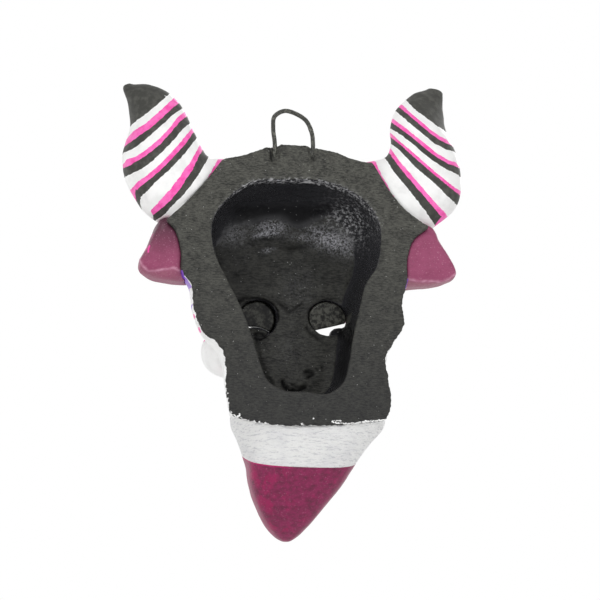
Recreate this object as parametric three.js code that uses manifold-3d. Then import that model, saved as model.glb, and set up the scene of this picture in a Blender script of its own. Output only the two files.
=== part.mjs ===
// Ceramic devil wall hanging: a hollow hand-built mask with horns, ears, beard and a wire loop.
// Millimetres, +Z up. The flat back rim lies in the plane y = 0 and faces +Y, and the face looks along -Y.
// The origin is on the back rim under the wire loop. +X is the devil's left side.
// Points written as pairs are [x, z] places seen from the front or back.

import * as THREE from 'three';
import { mergeVertices } from 'three/addons/utils/BufferGeometryUtils.js';
import Module from 'manifold-3d';

const wasm = await Module();
wasm.setup();

// Joints between two clay pieces are drawn open by this gap
const SEAM_GAP = 0.3;

// Mask body
const SHELL_DEPTH = 48;
const SHELL_FULLNESS = 2.4;
const RIM_BLEND_ANGLE = 55;
const RIM_BLEND_SAMPLES = 12;
const FACE_CENTRE = [0, -60];
const TOP_EDGE = [[-28, 2.7], [-17, 6.3], [-5.5, 8.4], [5, 9.2], [16.5, 7.6], [27, 3.7]];
const HORN_SEAT_LEFT = [[40.3, 0.2], [47.1, -9.3], [56.8, -20.5], [68.8, -31.8]];
const EAR_SEAT_LEFT = [[64, -37], [61, -47], [60.5, -57.5]];
const SIDE_LEFT = [[55.5, -63.5], [54.4, -76], [49.4, -88.2], [40.4, -95], [38.3, -101.5], [38, -117]];
const SIDE_RIGHT = [[-45.5, -121], [-43.5, -106], [-42.5, -97], [-47, -89], [-52, -80], [-51, -68]];
const EAR_SEAT_RIGHT = [[-53.8, -58], [-53.5, -48], [-57, -37]];
const HORN_SEAT_RIGHT = [[-65.3, -30], [-54.4, -22.8], [-46.4, -14.3], [-36.1, 2]];

// Pressed hollow in the back
const HOLLOW_DEPTH = 36;
const HOLLOW_LOW_SHARE = 0.78;
const HOLLOW_WALL_INSET = 7;
const HOLLOW_LOW_INSET = 2.5;
const HOLLOW_TOP_DRAFT = 0.8;
const HOLLOW_OUTLINE = [
  [24, -10], [8, -8.6], [-8, -8.4], [-20, -11], [-32, -17.5], [-39, -27], [-40.3, -38], [-38, -51.5],
  [-32.5, -60.5], [-29, -75], [-26, -88], [-24, -101], [-21, -111], [-13, -116.8], [-1, -116.2],
  [9, -116], [17, -111.5], [21.5, -101], [25.5, -88], [32, -72], [38, -60.5], [44, -48], [45.8, -35],
  [43, -26], [34, -16],
];

// Eyes: round holes half closed by slanted lids, whose round plugs are pressed into the holes from the front.
// Clay that was pressed in below each plug stays in the hole, its middle measured from the eye's.
const EYE_MIDDLE = [-2.2, -72.4];
const EYE_SPACING = 35.3;
const EYE_HOLE_RADIUS = 10;
const EYE_PLUG_RADIUS = 9.4;
const EYE_PLUG_SHIFT = 0.2;
const EYE_PLUG_SET_LEFT = 2.2;
const EYE_PLUG_SET_RIGHT = 0.2;
const EYE_PLUG_ROUND = 0.9;
const EYE_PLUG_CAP_SHARES = [[1, 1], [0.35, 0.97], [0.1, 0.9], [0, 0.7]];
const EYE_FILL_LEFT = { middle: [1.5, -8.2], size: [9, 6, 4.4] };
const EYE_FILL_RIGHT = { middle: [-7.2, -6.2], size: [5.2, 6, 3.4] };
const LID_MARGIN = 5;
const LID_THICKNESS = 6;
const LID_EDGE_DROP_LEFT = 3;
const LID_EDGE_DROP_RIGHT = 1.2;
const LID_SLANT = 15;
const LID_UNDERCUT = 14;
const LOWER_LID_RADIUS = 2.9;
const LOWER_LID_LENGTH = 25;
const LOWER_LID_GAP = 0.4;
const LOWER_LID_ROUTE_SHARES = [[-0.5, 0.62], [0, 1], [0.5, 0.5]];
const LOWER_LID_SHARES = [0.8, 1, 0.8];

// Brows: each runs from its inner end over the eye to its outer end
const BROW_RADIUS = 5.6;
const BROW_GAP_ABOVE_LID = 1.5;
const BROW_ROUTE = [[-12, -6], [0, 1.5], [12, 4], [22, 8]];
const BROW_WIDE_SHARES = [0.9, 1, 0.9, 0.5];
const BROW_HIGH_SHARES = [1.1, 1, 0.8, 0.5];

// Nose: a bridge that widens to the tip, with a round wing on each side
const NOSE_TOP = -64.4;
const NOSE_LENGTH = 34;
const NOSE_BRIDGE_RADIUS = 6.5;
const NOSE_BRIDGE_RISE = 6;
const NOSE_TIP_RADIUS = 11;
const NOSE_RISE = 11;
const NOSTRIL_RADIUS = 6.5;
const NOSTRIL_SPACING = 19;
const NOSTRIL_RISE = 4;

// Cheeks: their middles lie under the surface of the face by their depth
const CHEEK_RADIUS = 13;
const CHEEK_SPACING = 68;
const CHEEK_HEIGHT = -91;
const CHEEK_DEPTH = 1.5;

// Mouth: lip routes are shares of its half width, then of the lip radius upward or of the opening downward
const MOUTH_TOP = -106;
const MOUTH_HALF_WIDTH = 24;
const MOUTH_OPENING = 18;
const UPPER_LIP_RADIUS = 4;
const UPPER_LIP_ROUTE_SHARES = [[-1, 0.75], [-0.5, -0.25], [0, 0.12], [0.5, -0.25], [1, 0.75]];
const UPPER_LIP_SHARES = [0.6, 1, 0.9, 1, 0.6];
const LOWER_LIP_RADIUS = 4.2;
const LOWER_LIP_ROUTE_SHARES = [[-0.94, 0.22], [-0.58, 0.8], [0, 1], [0.58, 0.8], [0.94, 0.22]];
const LOWER_LIP_SHARES = [0.6, 0.95, 1, 0.95, 0.6];
const LIP_LIFT = 1;
const TOOTH_HEIGHT = 6;
const TOOTH_ROW_HALF_WIDTH = 10;
const FANG_RADIUS = 2.8;
const FANG_LENGTH = 10;
const FANG_SPACING = 27;

// Horns: both outlines from root to tip, point beside point, with the lean forward and the share of thickness
const HORN_THICKNESS = 29;
const HORN_BACK_SETBACK = 1.2;
const HORN_TIP_SHRINK = 0.55;
const HORN_TIP_ROUND = 1.2;
const HORN_LEAN = [0, 0, 0.5, 1.5, 3, 6, 9.5, 13];
const HORN_SHARES = [0.92, 1, 1, 0.98, 0.9, 0.68, 0.42, 0.2];
const HORN_LEFT = {
  inner: [
    [35, 3.4], [45, 4.4], [50.5, 13.8], [54, 22], [57.4, 29.8], [64.4, 38], [73.8, 42.4], [81, 43],
  ],
  outer: [
    [61, -36], [75.2, -27.5], [81.9, -17.6], [86.8, -7], [87.4, 5.6], [83.3, 19.6], [83.5, 30], [86.2, 41],
  ],
};
const HORN_RIGHT = {
  inner: [
    [-34, 4.6], [-45.5, 8], [-48.7, 15.9], [-48.4, 23.6], [-51, 32.5], [-56.2, 38.8], [-62.5, 44.2],
    [-69.4, 47.4],
  ],
  outer: [
    [-57, -35], [-73.4, -24.6], [-82.6, -14.6], [-84.5, -0.1], [-81.8, 12.7], [-77.7, 24.4], [-77.3, 34.2],
    [-78.1, 45.6],
  ],
};

// Ears: upright slices from the head to the tip, each as its place along X, its lower and its upper edge
const EAR_THICKNESS = 24;
const EAR_BACK_SETBACK = 2;
const EAR_SHARES = [1, 1, 0.9, 0.78, 0.63, 0.47, 0.28];
const EAR_SQUARE_SECTION = 0.5;
const EAR_SLICES_LEFT = [
  [50, -61, -30], [62, -61.2, -29], [69.5, -60.6, -29.6], [73.4, -59.9, -36.6], [76.8, -58.8, -44.8],
  [79.7, -57.7, -49.4], [81.4, -56.2, -52.8],
];
const EAR_SLICES_RIGHT = [
  [-46, -59.7, -33], [-58, -59.3, -28], [-66.8, -58.4, -28], [-71, -57.5, -35.4], [-75, -56.5, -42.2],
  [-77.9, -55.4, -47.6], [-79.3, -53.8, -51.8],
];

// Chin and beard hang from the mouth: all their heights are measured from the mouth's top line.
// Each level slice has its height, the middle and half of its width, and the depths of its back and front.
const CHIN_SEAT = [[36, -24.5], [14, -27.4], [-16, -26.5], [-43, -23.5]];
const BEARD_JOINT = [-24, -40.6];
const BEARD_JOINT_TILT = 23;
const BEARD_SQUARE_SECTION = 0.7;
const CHIN_SLICES = [
  [-13, -6, 22, 6, 24],
  [-18, -6.1, 37.4, 3, 30],
  [-24, -6.2, 38.4, 0.8, 36],
  [-32, -5.1, 33, 2.6, 40],
  [-42, -3.8, 27.6, 7.5, 42],
  [-52, -2.2, 23.9, 13, 44],
  [-62.5, -0.7, 17.8, 21, 46],
  [-71.3, 0.2, 11, 29, 47.5],
  [-77, 0.6, 5, 35.5, 47.5],
  [-79.4, 0.6, 1.6, 39.5, 44.5],
];

// Wire loop: one piece of wire, its ends bent forward into the clay
const WIRE_DIAMETER = 2.1;
const WIRE_DEPTH = 1.7;
const WIRE_CLEARANCE = 0.3;
const WIRE_END_DEPTH = 9;
const WIRE_LEG_LEFT = [13.8, 1.2];
const WIRE_LEG_RIGHT = [-5.4, 2];
const WIRE_ROUTE = [
  [13.5, 9], [14.4, 18], [13.5, 23.6], [8.4, 26.4], [3, 25.4], [-2.2, 21.9], [-5.1, 16.6], [-6, 9.8],
];

// Paint and wire finishes
const BACK_BLACK = { color: 0x3d3c39, roughness: 0.62, metalness: 0 };
const FACE_WHITE = { color: 0xe6e3de, roughness: 0.45, metalness: 0 };
const PLUM = { color: 0x83305c, roughness: 0.42, metalness: 0 };
const PINK = { color: 0xf07cc0, roughness: 0.4, metalness: 0 };
const HORN_WHITE = { color: 0xe9e7e4, roughness: 0.42, metalness: 0 };
const TOOTH_WHITE = { color: 0xf0ead8, roughness: 0.35, metalness: 0 };
const WIRE_GREY = { color: 0x3b3a3a, roughness: 0.4, metalness: 0.8 };

// Fineness of the meshes
const OUTLINE_STEPS = 6;
const STEPS_PER_POINT = 2;
const DOME_RINGS = 9;
const RING_POINTS = 18;
const ROLL_POINTS = 10;
const ROLL_STEPS = 10;
const HORN_STEPS = 12;
const BALL_POINTS = 14;
const WIRE_STEPS = 40;

function toSolid(geometry) {
  const bare = geometry.clone();
  bare.deleteAttribute('normal');
  bare.deleteAttribute('uv');
  const merged = mergeVertices(bare, 1e-4);
  const solid = new wasm.Manifold(new wasm.Mesh({
    numProp: 3,
    vertProperties: Float32Array.from(merged.attributes.position.array),
    triVerts: Uint32Array.from(merged.index.array),
  }));
  return solid;
}

function toGeometry(solid) {
  const mesh = solid.getMesh();
  const geometry = new THREE.BufferGeometry();
  geometry.setAttribute('position', new THREE.BufferAttribute(mesh.vertProperties, 3));
  geometry.setIndex(new THREE.BufferAttribute(mesh.triVerts, 1));
  return geometry;
}

// Closed body through a row of rings with equal point counts, each end closed to its own middle point
function loft(rings) {
  const count = rings[0].length;
  const points = rings.flat();
  const middleOf = (ring) => ring.reduce((sum, p) => sum.add(p), new THREE.Vector3()).divideScalar(count);
  const firstMiddle = points.length;
  points.push(middleOf(rings[0]), middleOf(rings[rings.length - 1]));
  const faces = [];
  for (let i = 0; i < count; i += 1) {
    const next = (i + 1) % count;
    faces.push([firstMiddle, next, i]);
    const last = (rings.length - 1) * count;
    faces.push([firstMiddle + 1, last + i, last + next]);
    for (let k = 0; k < rings.length - 1; k += 1) {
      const here = k * count;
      const there = here + count;
      faces.push([here + i, here + next, there + next]);
      faces.push([here + i, there + next, there + i]);
    }
  }
  return closedGeometry(points, faces);
}

// Faces are turned to point out, whichever way round the rings ran
function closedGeometry(points, faces) {
  let volume = 0;
  for (const [a, b, c] of faces) {
    volume += points[a].dot(new THREE.Vector3().crossVectors(points[b], points[c]));
  }
  const outward = volume < 0 ? faces.map(([a, b, c]) => [a, c, b]) : faces;
  const geometry = new THREE.BufferGeometry();
  geometry.setAttribute('position', new THREE.Float32BufferAttribute(points.flatMap((p) => p.toArray()), 3));
  geometry.setIndex(outward.flat());
  return geometry;
}

const lerp = THREE.MathUtils.lerp;

function smoothLine(pairs, steps, closed = false) {
  const points = pairs.map(([x, z]) => new THREE.Vector3(x, 0, z));
  const curve = new THREE.CatmullRomCurve3(points, closed, 'centripetal');
  return curve.getPoints(steps).map((p) => [p.x, p.z]);
}

function belowMouth(pairs) {
  return pairs.map(([x, rise]) => [x, MOUTH_TOP + rise]);
}

// Each stretch of the outline is smooth, and the seats of horns and chin meet it in corners
function shellOutline() {
  const chinSeat = belowMouth(CHIN_SEAT);
  const stretches = [
    [HORN_SEAT_RIGHT.at(-1), ...TOP_EDGE, HORN_SEAT_LEFT[0]],
    HORN_SEAT_LEFT,
    [HORN_SEAT_LEFT.at(-1), ...EAR_SEAT_LEFT, ...SIDE_LEFT, chinSeat[0]],
    chinSeat,
    [chinSeat.at(-1), ...SIDE_RIGHT, ...EAR_SEAT_RIGHT, HORN_SEAT_RIGHT[0]],
    HORN_SEAT_RIGHT,
  ];
  return stretches.flatMap((pairs) => {
    const steps = Math.max(OUTLINE_STEPS, pairs.length * STEPS_PER_POINT);
    return smoothLine(pairs, steps).slice(0, -1);
  });
}

const SHELL_OUTLINE = shellOutline();

// Distance from the middle of the face to the rim in one direction
function rimRadius(dx, dz) {
  const [cx, cz] = FACE_CENTRE;
  let best = 0;
  SHELL_OUTLINE.forEach(([ax, az], i) => {
    const [bx, bz] = SHELL_OUTLINE[(i + 1) % SHELL_OUTLINE.length];
    const ex = bx - ax;
    const ez = bz - az;
    const cross = dx * ez - dz * ex;
    if (Math.abs(cross) < 1e-9) return;
    const along = ((ax - cx) * ez - (az - cz) * ex) / cross;
    const across = ((ax - cx) * dz - (az - cz) * dx) / cross;
    if (along > 0 && across >= 0 && across <= 1) best = Math.max(best, along);
  });
  return best;
}

// The same distance evened out over the directions beside it
function softRimRadius(dx, dz) {
  const here = Math.atan2(dz, dx);
  let sum = 0;
  let weights = 0;
  for (let i = -RIM_BLEND_SAMPLES; i <= RIM_BLEND_SAMPLES; i += 1) {
    const turn = i / (RIM_BLEND_SAMPLES + 1);
    const angle = here + turn * THREE.MathUtils.degToRad(RIM_BLEND_ANGLE);
    const weight = 1 + Math.cos(turn * Math.PI);
    sum += weight * rimRadius(Math.cos(angle), Math.sin(angle));
    weights += weight;
  }
  return sum / weights;
}

// Half width of the mask body at one level; the corners of the rim fade out towards the front
function levelRadius(rim, softRim, angle) {
  const fade = Math.sin(angle);
  return lerp(rim, softRim, fade) * Math.cos(angle) ** (2 / SHELL_FULLNESS);
}

// Depth of the front of the mask body at a place on the face
function frontAt(x, z) {
  const dx = x - FACE_CENTRE[0];
  const dz = z - FACE_CENTRE[1];
  const distance = Math.hypot(dx, dz);
  if (distance < 1e-6) return -SHELL_DEPTH;
  const rim = rimRadius(dx / distance, dz / distance);
  const softRim = softRimRadius(dx / distance, dz / distance);
  let low = 0;
  let high = Math.PI / 2;
  for (let i = 0; i < 24; i += 1) {
    const angle = (low + high) / 2;
    if (levelRadius(rim, softRim, angle) > distance) low = angle;
    else high = angle;
  }
  return -SHELL_DEPTH * Math.sin(low);
}

function onFace([x, z], lift = 0) {
  return new THREE.Vector3(x, frontAt(x, z) - lift, z);
}

// Full mask body without its hollow, larger all round by the grown distance
function shellBody(grown = 0) {
  const [cx, cz] = FACE_CENTRE;
  const rings = [];
  const soft = SHELL_OUTLINE.map(([x, z]) => softRimRadius(x - cx, z - cz));
  for (let k = 0; k < DOME_RINGS; k += 1) {
    const angle = (k / DOME_RINGS) * (Math.PI / 2);
    rings.push(SHELL_OUTLINE.map(([x, z], i) => {
      const distance = Math.hypot(x - cx, z - cz);
      const stretch = (levelRadius(distance, soft[i], angle) + grown) / distance;
      const y = -(SHELL_DEPTH + grown) * Math.sin(angle);
      return new THREE.Vector3(cx + (x - cx) * stretch, y, cz + (z - cz) * stretch);
    }));
  }
  if (grown > 0) rings.unshift(rings[0].map((p) => new THREE.Vector3(p.x, grown, p.z)));
  const dome = loft(rings);
  centreCaps(dome, rings[0][0].y, -(SHELL_DEPTH + grown));
  return toSolid(dome);
}

// The middle points of the two caps go to the middle of the face, the front one out to the full depth
function centreCaps(dome, backY, frontY) {
  const position = dome.attributes.position;
  const last = position.count - 1;
  position.setXYZ(last - 1, FACE_CENTRE[0], backY, FACE_CENTRE[1]);
  position.setXYZ(last, FACE_CENTRE[0], frontY, FACE_CENTRE[1]);
}

// Hollow: steep walls under the rim, a rounded corner and a floor that rises towards the mouth
function hollowBody() {
  const outline = smoothLine(HOLLOW_OUTLINE, HOLLOW_OUTLINE.length * 3, true).slice(0, -1);
  const [cx, cz] = FACE_CENTRE;
  const walls = [[-0.15, 0], [0.3, 0.1], [0.6, 0.28], [0.82, 0.55], [0.95, 0.95], [1, 1.6]];
  const insetOf = (x, z) => {
    const upward = Math.max(0, (z - cz) / Math.hypot(x - cx, z - cz));
    const low = THREE.MathUtils.smoothstep(cz - z, -10, 10);
    return lerp(HOLLOW_WALL_INSET * (1 + HOLLOW_TOP_DRAFT * upward), HOLLOW_LOW_INSET, low);
  };
  const depthOf = (z) => {
    const low = THREE.MathUtils.smoothstep(cz - z, 5, 50);
    return HOLLOW_DEPTH * lerp(1, HOLLOW_LOW_SHARE, low);
  };
  const place = (x, z, stretch, share) => {
    const px = cx + (x - cx) * stretch;
    const pz = cz + (z - cz) * stretch;
    return new THREE.Vector3(px, -depthOf(pz) * share, pz);
  };
  const rings = walls.map(([share, inset]) => outline.map(([x, z]) => {
    const distance = Math.hypot(x - cx, z - cz);
    return place(x, z, (distance - insetOf(x, z) * inset) / distance, share);
  }));
  rings.push(outline.map(([x, z]) => place(x, z, 0.3, 1)));
  return toSolid(loft(rings));
}

function eyeCentre(side) {
  return [EYE_MIDDLE[0] + side * EYE_SPACING / 2, EYE_MIDDLE[1]];
}

function eyeHole(side) {
  const [x, z] = eyeCentre(side);
  const drill = new THREE.CylinderGeometry(EYE_HOLE_RADIUS, EYE_HOLE_RADIUS, SHELL_DEPTH, 32);
  drill.translate(x, -SHELL_DEPTH, z);
  return toSolid(drill).subtract(eyeFill(side));
}

function eyeFill(side, grown = 0) {
  const [x, z] = eyeCentre(side);
  const { middle, size } = side > 0 ? EYE_FILL_LEFT : EYE_FILL_RIGHT;
  const depth = (frontAt(x, z) - HOLLOW_DEPTH) / 2;
  const centre = new THREE.Vector3(x + middle[0], depth, z + middle[1]);
  return ball(centre, size.map((half) => half + grown));
}

// Round plug in the eye hole behind the lid, its back a little deeper than the floor of the hollow
function eyePlug(side) {
  const [x, z] = eyeCentre(side);
  const back = -(HOLLOW_DEPTH + (side > 0 ? EYE_PLUG_SET_LEFT : EYE_PLUG_SET_RIGHT));
  const profile = EYE_PLUG_CAP_SHARES.map(([along, share]) => [back - along * EYE_PLUG_ROUND, share]);
  profile.unshift([frontAt(x, z) - LID_THICKNESS / 2, 1]);
  return toSolid(loft(profile.map(([y, share]) => {
    const ring = [];
    for (let i = 0; i < RING_POINTS; i += 1) {
      const angle = (i / RING_POINTS) * Math.PI * 2;
      const middleX = x + side * EYE_PLUG_SHIFT;
      const radius = EYE_PLUG_RADIUS * share;
      ring.push(new THREE.Vector3(middleX + Math.cos(angle) * radius, y, z + Math.sin(angle) * radius));
    }
    return ring;
  })));
}

function wirePath() {
  const bend = WIRE_DIAMETER * 1.5;
  const leg = ([x, z]) => [
    new THREE.Vector3(x, -WIRE_END_DEPTH, z),
    new THREE.Vector3(x, -WIRE_DEPTH - bend, z),
    new THREE.Vector3(x, -WIRE_DEPTH, z + bend),
  ];
  const loop = WIRE_ROUTE.map(([x, z]) => new THREE.Vector3(x, -WIRE_DEPTH, z));
  const route = [...leg(WIRE_LEG_LEFT), ...loop, ...leg(WIRE_LEG_RIGHT).reverse()];
  return new THREE.CatmullRomCurve3(route, false, 'centripetal');
}

function wireTube(radius, lengthen = 0) {
  const section = new THREE.Shape().absarc(0, 0, radius, 0, Math.PI * 2);
  const path = wirePath();
  if (lengthen > 0) {
    path.points[0].y -= lengthen;
    path.points.at(-1).y -= lengthen;
  }
  const tube = new THREE.ExtrudeGeometry(section, { steps: WIRE_STEPS, curveSegments: 5, extrudePath: path });
  return toSolid(tube);
}

function faceShell() {
  let body = shellBody().subtract(hollowBody());
  body = body.subtract(eyeHole(1)).subtract(eyeHole(-1));
  body = body.subtract(wireTube(WIRE_DIAMETER / 2 + WIRE_CLEARANCE, WIRE_CLEARANCE));
  return body;
}

// Horn: oval sections across the chords, rooted inside the mask body and closed at the tip
function hornBody(sides, grown = 0) {
  const rings = [];
  // The middle value along the inner outline is the lean, and along the outer one the thickness share
  const curveOf = (pairs, extra) => {
    const points = pairs.map(([x, z], i) => new THREE.Vector3(x, extra[i], z));
    return new THREE.CatmullRomCurve3(points, false, 'centripetal');
  };
  const inner = curveOf(sides.inner, HORN_LEAN);
  const outer = curveOf(sides.outer, HORN_SHARES);
  for (let k = 0; k <= HORN_STEPS; k += 1) {
    const a = inner.getPoint(k / HORN_STEPS);
    const b = outer.getPoint(k / HORN_STEPS);
    const half = HORN_THICKNESS / 2 * b.y;
    const middle = -(HORN_BACK_SETBACK + HORN_THICKNESS / 2 + a.y);
    rings.push(ovalAcross([a.x, a.z], [b.x, b.z], middle, half, grown));
  }
  const tip = rings[rings.length - 1];
  rings.push(shrunkRing(tip, HORN_TIP_SHRINK, HORN_TIP_ROUND + grown));
  return toSolid(loft(rings));
}

// Oval ring whose long way spans two places and whose short way is the depth
function ovalAcross(from, to, middleY, halfDepth, grown) {
  const width = Math.hypot(to[0] - from[0], to[1] - from[1]);
  const ux = (to[0] - from[0]) / width;
  const uz = (to[1] - from[1]) / width;
  const ring = [];
  for (let i = 0; i < RING_POINTS; i += 1) {
    const angle = (i / RING_POINTS) * Math.PI * 2;
    const across = Math.cos(angle) * (width / 2 + grown);
    const x = (from[0] + to[0]) / 2 + ux * across;
    const z = (from[1] + to[1]) / 2 + uz * across;
    ring.push(new THREE.Vector3(x, middleY + Math.sin(angle) * (halfDepth + grown), z));
  }
  return ring;
}

// Smaller copy of an end ring, moved on along the way the ring faces, for a rounded end
function shrunkRing(ring, scale, ahead) {
  const middle = ring.reduce((sum, p) => sum.add(p), new THREE.Vector3()).divideScalar(ring.length);
  const first = ring[0].clone().sub(middle);
  const second = ring[Math.floor(ring.length / 4)].clone().sub(middle);
  const along = first.cross(second).normalize();
  const upward = along.z < 0 ? along.negate() : along;
  const end = middle.clone().addScaledVector(upward, ahead);
  return ring.map((p) => p.clone().sub(middle).multiplyScalar(scale).add(end));
}

// Ear: thick where it joins the head and thin at its tip, with a flat back and a full underside
function earBody(slices, grown = 0) {
  const rings = slices.map(([x, low, high], k) => {
    const depth = EAR_THICKNESS * EAR_SHARES[k];
    const ring = [];
    for (let i = 0; i < RING_POINTS; i += 1) {
      const angle = (i / RING_POINTS) * Math.PI * 2;
      const up = softBox(Math.sin(angle), EAR_SQUARE_SECTION) * ((high - low) / 2 + grown);
      const out = softBox(Math.cos(angle), EAR_SQUARE_SECTION) * (depth / 2 + grown);
      ring.push(new THREE.Vector3(x, -(EAR_BACK_SETBACK + depth / 2) + out, (high + low) / 2 + up));
    }
    return ring;
  });
  return toSolid(loft(rings));
}

// Takes a sine or cosine towards a rounded rectangle, the squarer the smaller the power
function softBox(value, power) {
  return Math.sign(value) * Math.abs(value) ** power;
}

function beardBody(grown = 0) {
  const rings = CHIN_SLICES.map(([rise, middle, halfWidth, back, front]) => {
    const ring = [];
    for (let i = 0; i < RING_POINTS; i += 1) {
      const angle = (i / RING_POINTS) * Math.PI * 2;
      const side = softBox(Math.cos(angle), BEARD_SQUARE_SECTION) * (halfWidth + grown);
      const out = softBox(Math.sin(angle), BEARD_SQUARE_SECTION) * ((front - back) / 2 + grown);
      ring.push(new THREE.Vector3(middle + side, -(front + back) / 2 + out, MOUTH_TOP + rise));
    }
    return ring;
  });
  return toSolid(loft(rings));
}

// Block on one side of the joint of chin and beard, which is square to the beard's forward lean
function besideBeardJoint(upward) {
  const size = 400;
  const block = new THREE.BoxGeometry(size, size, size);
  block.translate(0, 0, upward * (size + SEAM_GAP) / 2);
  block.rotateX(-THREE.MathUtils.degToRad(BEARD_JOINT_TILT));
  block.translate(0, ...belowMouth([BEARD_JOINT])[0]);
  return toSolid(block);
}

// Clay roll along points in space, with round ends; wide is its half width on the face, high its half height
function roll(points, wide, high, grown = 0) {
  const path = new THREE.CatmullRomCurve3(points, false, 'centripetal');
  const rings = [];
  for (let k = 0; k <= ROLL_STEPS; k += 1) {
    const along = (1 - Math.cos((k / ROLL_STEPS) * Math.PI)) / 2;
    const u = lerp(0.012, 0.988, along);
    const middle = path.getPoint(u);
    const tangent = path.getTangent(u);
    const side = new THREE.Vector3(0, -1, 0).cross(tangent).normalize();
    const out = tangent.clone().cross(side).normalize();
    const taper = Math.sqrt(1 - Math.abs(2 * u - 1) ** 5);
    const half = sampleAlong(wide, u) * taper + grown;
    const rise = sampleAlong(high, u) * taper + grown;
    const ring = [];
    for (let i = 0; i < ROLL_POINTS; i += 1) {
      const angle = (i / ROLL_POINTS) * Math.PI * 2;
      const p = middle.clone().addScaledVector(side, Math.cos(angle) * half);
      ring.push(p.addScaledVector(out, Math.sin(angle) * rise));
    }
    rings.push(ring);
  }
  return toSolid(loft(rings));
}

function scaled(shares, size) {
  return shares.map((share) => share * size);
}

// Value part of the way along an evenly spaced list
function sampleAlong(values, u) {
  const place = u * (values.length - 1);
  const i = Math.min(Math.floor(place), values.length - 2);
  return lerp(values[i], values[i + 1], place - i);
}

function ball(centre, radii) {
  const sphere = new THREE.SphereGeometry(1, BALL_POINTS, Math.round(BALL_POINTS * 0.7));
  sphere.scale(...radii);
  sphere.translate(centre.x, centre.y, centre.z);
  return toSolid(sphere);
}

function mirrored(side, [x, z]) {
  return [EYE_MIDDLE[0] + side * x, z];
}

// Upper lid: a pad over the eye hole, cut off along a slanted edge
function upperLidBody(side, grown = 0) {
  const [x, z] = eyeCentre(side);
  const reach = EYE_HOLE_RADIUS + LID_MARGIN + grown;
  const pad = ball(onFace([x, z]), [reach, LID_THICKNESS + grown, reach]);
  return pad.subtract(lidKnife(side, grown));
}

function lidKnife(side, grown = 0) {
  const [x, z] = eyeCentre(side);
  const size = 4 * (EYE_HOLE_RADIUS + LID_MARGIN);
  const drop = side > 0 ? LID_EDGE_DROP_LEFT : LID_EDGE_DROP_RIGHT;
  const knife = new THREE.BoxGeometry(size, size, size);
  knife.translate(0, 0, -size / 2 - drop - grown);
  knife.rotateX(-THREE.MathUtils.degToRad(LID_UNDERCUT));
  knife.rotateY(-side * THREE.MathUtils.degToRad(LID_SLANT));
  knife.translate(x, frontAt(x, z), z);
  return toSolid(knife);
}

function lowerLidBody(side, grown = 0) {
  const drop = EYE_HOLE_RADIUS + LOWER_LID_RADIUS + LOWER_LID_GAP;
  const path = LOWER_LID_ROUTE_SHARES.map(([along, down]) => {
    const place = [EYE_SPACING / 2 + along * LOWER_LID_LENGTH, EYE_MIDDLE[1] - down * drop];
    return onFace(mirrored(side, place), 0.5);
  });
  const wide = scaled(LOWER_LID_SHARES, LOWER_LID_RADIUS);
  const high = [LOWER_LID_RADIUS, LOWER_LID_RADIUS];
  return roll(path, wide, high, grown);
}

function browBody(side, grown = 0) {
  const middle = EYE_SPACING / 2;
  const base = EYE_MIDDLE[1] + EYE_HOLE_RADIUS + LID_MARGIN + BROW_GAP_ABOVE_LID;
  const path = BROW_ROUTE.map(([along, up]) => onFace(mirrored(side, [middle + along, base + up]), 1));
  return roll(path, scaled(BROW_WIDE_SHARES, BROW_RADIUS), scaled(BROW_HIGH_SHARES, BROW_RADIUS), grown);
}

function noseBody(grown = 0) {
  const x = EYE_MIDDLE[0];
  const low = NOSE_TOP - NOSE_LENGTH;
  const path = [
    onFace([x, NOSE_TOP], -1),
    onFace([x, NOSE_TOP - NOSE_LENGTH * 0.45], NOSE_BRIDGE_RISE),
    onFace([x, low + NOSE_TIP_RADIUS * 0.6], NOSE_RISE),
  ];
  const wide = [NOSE_BRIDGE_RADIUS * 0.8, NOSE_BRIDGE_RADIUS, NOSE_TIP_RADIUS];
  const high = [NOSE_BRIDGE_RADIUS, NOSE_BRIDGE_RADIUS * 1.3, NOSE_TIP_RADIUS];
  const bridge = roll(path, wide, high, grown);
  const wings = [1, -1].map((side) => {
    const centre = onFace([x + side * NOSTRIL_SPACING / 2, low + NOSTRIL_RADIUS * 1.3], NOSTRIL_RISE);
    const radius = NOSTRIL_RADIUS + grown;
    return ball(centre, [radius, radius * 1.2, radius]);
  });
  return bridge.add(wings[0]).add(wings[1]);
}

function cheekBody(side, grown = 0) {
  const centre = onFace(mirrored(side, [CHEEK_SPACING / 2, CHEEK_HEIGHT]), -CHEEK_DEPTH);
  const radius = CHEEK_RADIUS + grown;
  return ball(centre, [radius, radius, radius]);
}

function upperLipBody(grown = 0) {
  const path = UPPER_LIP_ROUTE_SHARES.map(([share, up]) => {
    return onFace([EYE_MIDDLE[0] + share * MOUTH_HALF_WIDTH, MOUTH_TOP + up * UPPER_LIP_RADIUS], LIP_LIFT);
  });
  const half = scaled(UPPER_LIP_SHARES, UPPER_LIP_RADIUS);
  return roll(path, half, half, grown);
}

function lowerLipBody(grown = 0) {
  const path = LOWER_LIP_ROUTE_SHARES.map(([share, down]) => {
    return onFace([EYE_MIDDLE[0] + share * MOUTH_HALF_WIDTH, MOUTH_TOP - down * MOUTH_OPENING], LIP_LIFT);
  });
  const half = scaled(LOWER_LIP_SHARES, LOWER_LIP_RADIUS);
  return roll(path, half, half, grown);
}

function toothRowBody(grown = 0) {
  const z = MOUTH_TOP - UPPER_LIP_RADIUS * 0.6 - TOOTH_HEIGHT / 2;
  const wide = TOOTH_ROW_HALF_WIDTH;
  const path = [-1, 0, 1].map((share) => onFace([EYE_MIDDLE[0] + wide * share, z], 0.5));
  const half = [TOOTH_HEIGHT / 2, TOOTH_HEIGHT / 2, TOOTH_HEIGHT / 2];
  return roll(path, half, half, grown);
}

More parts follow.
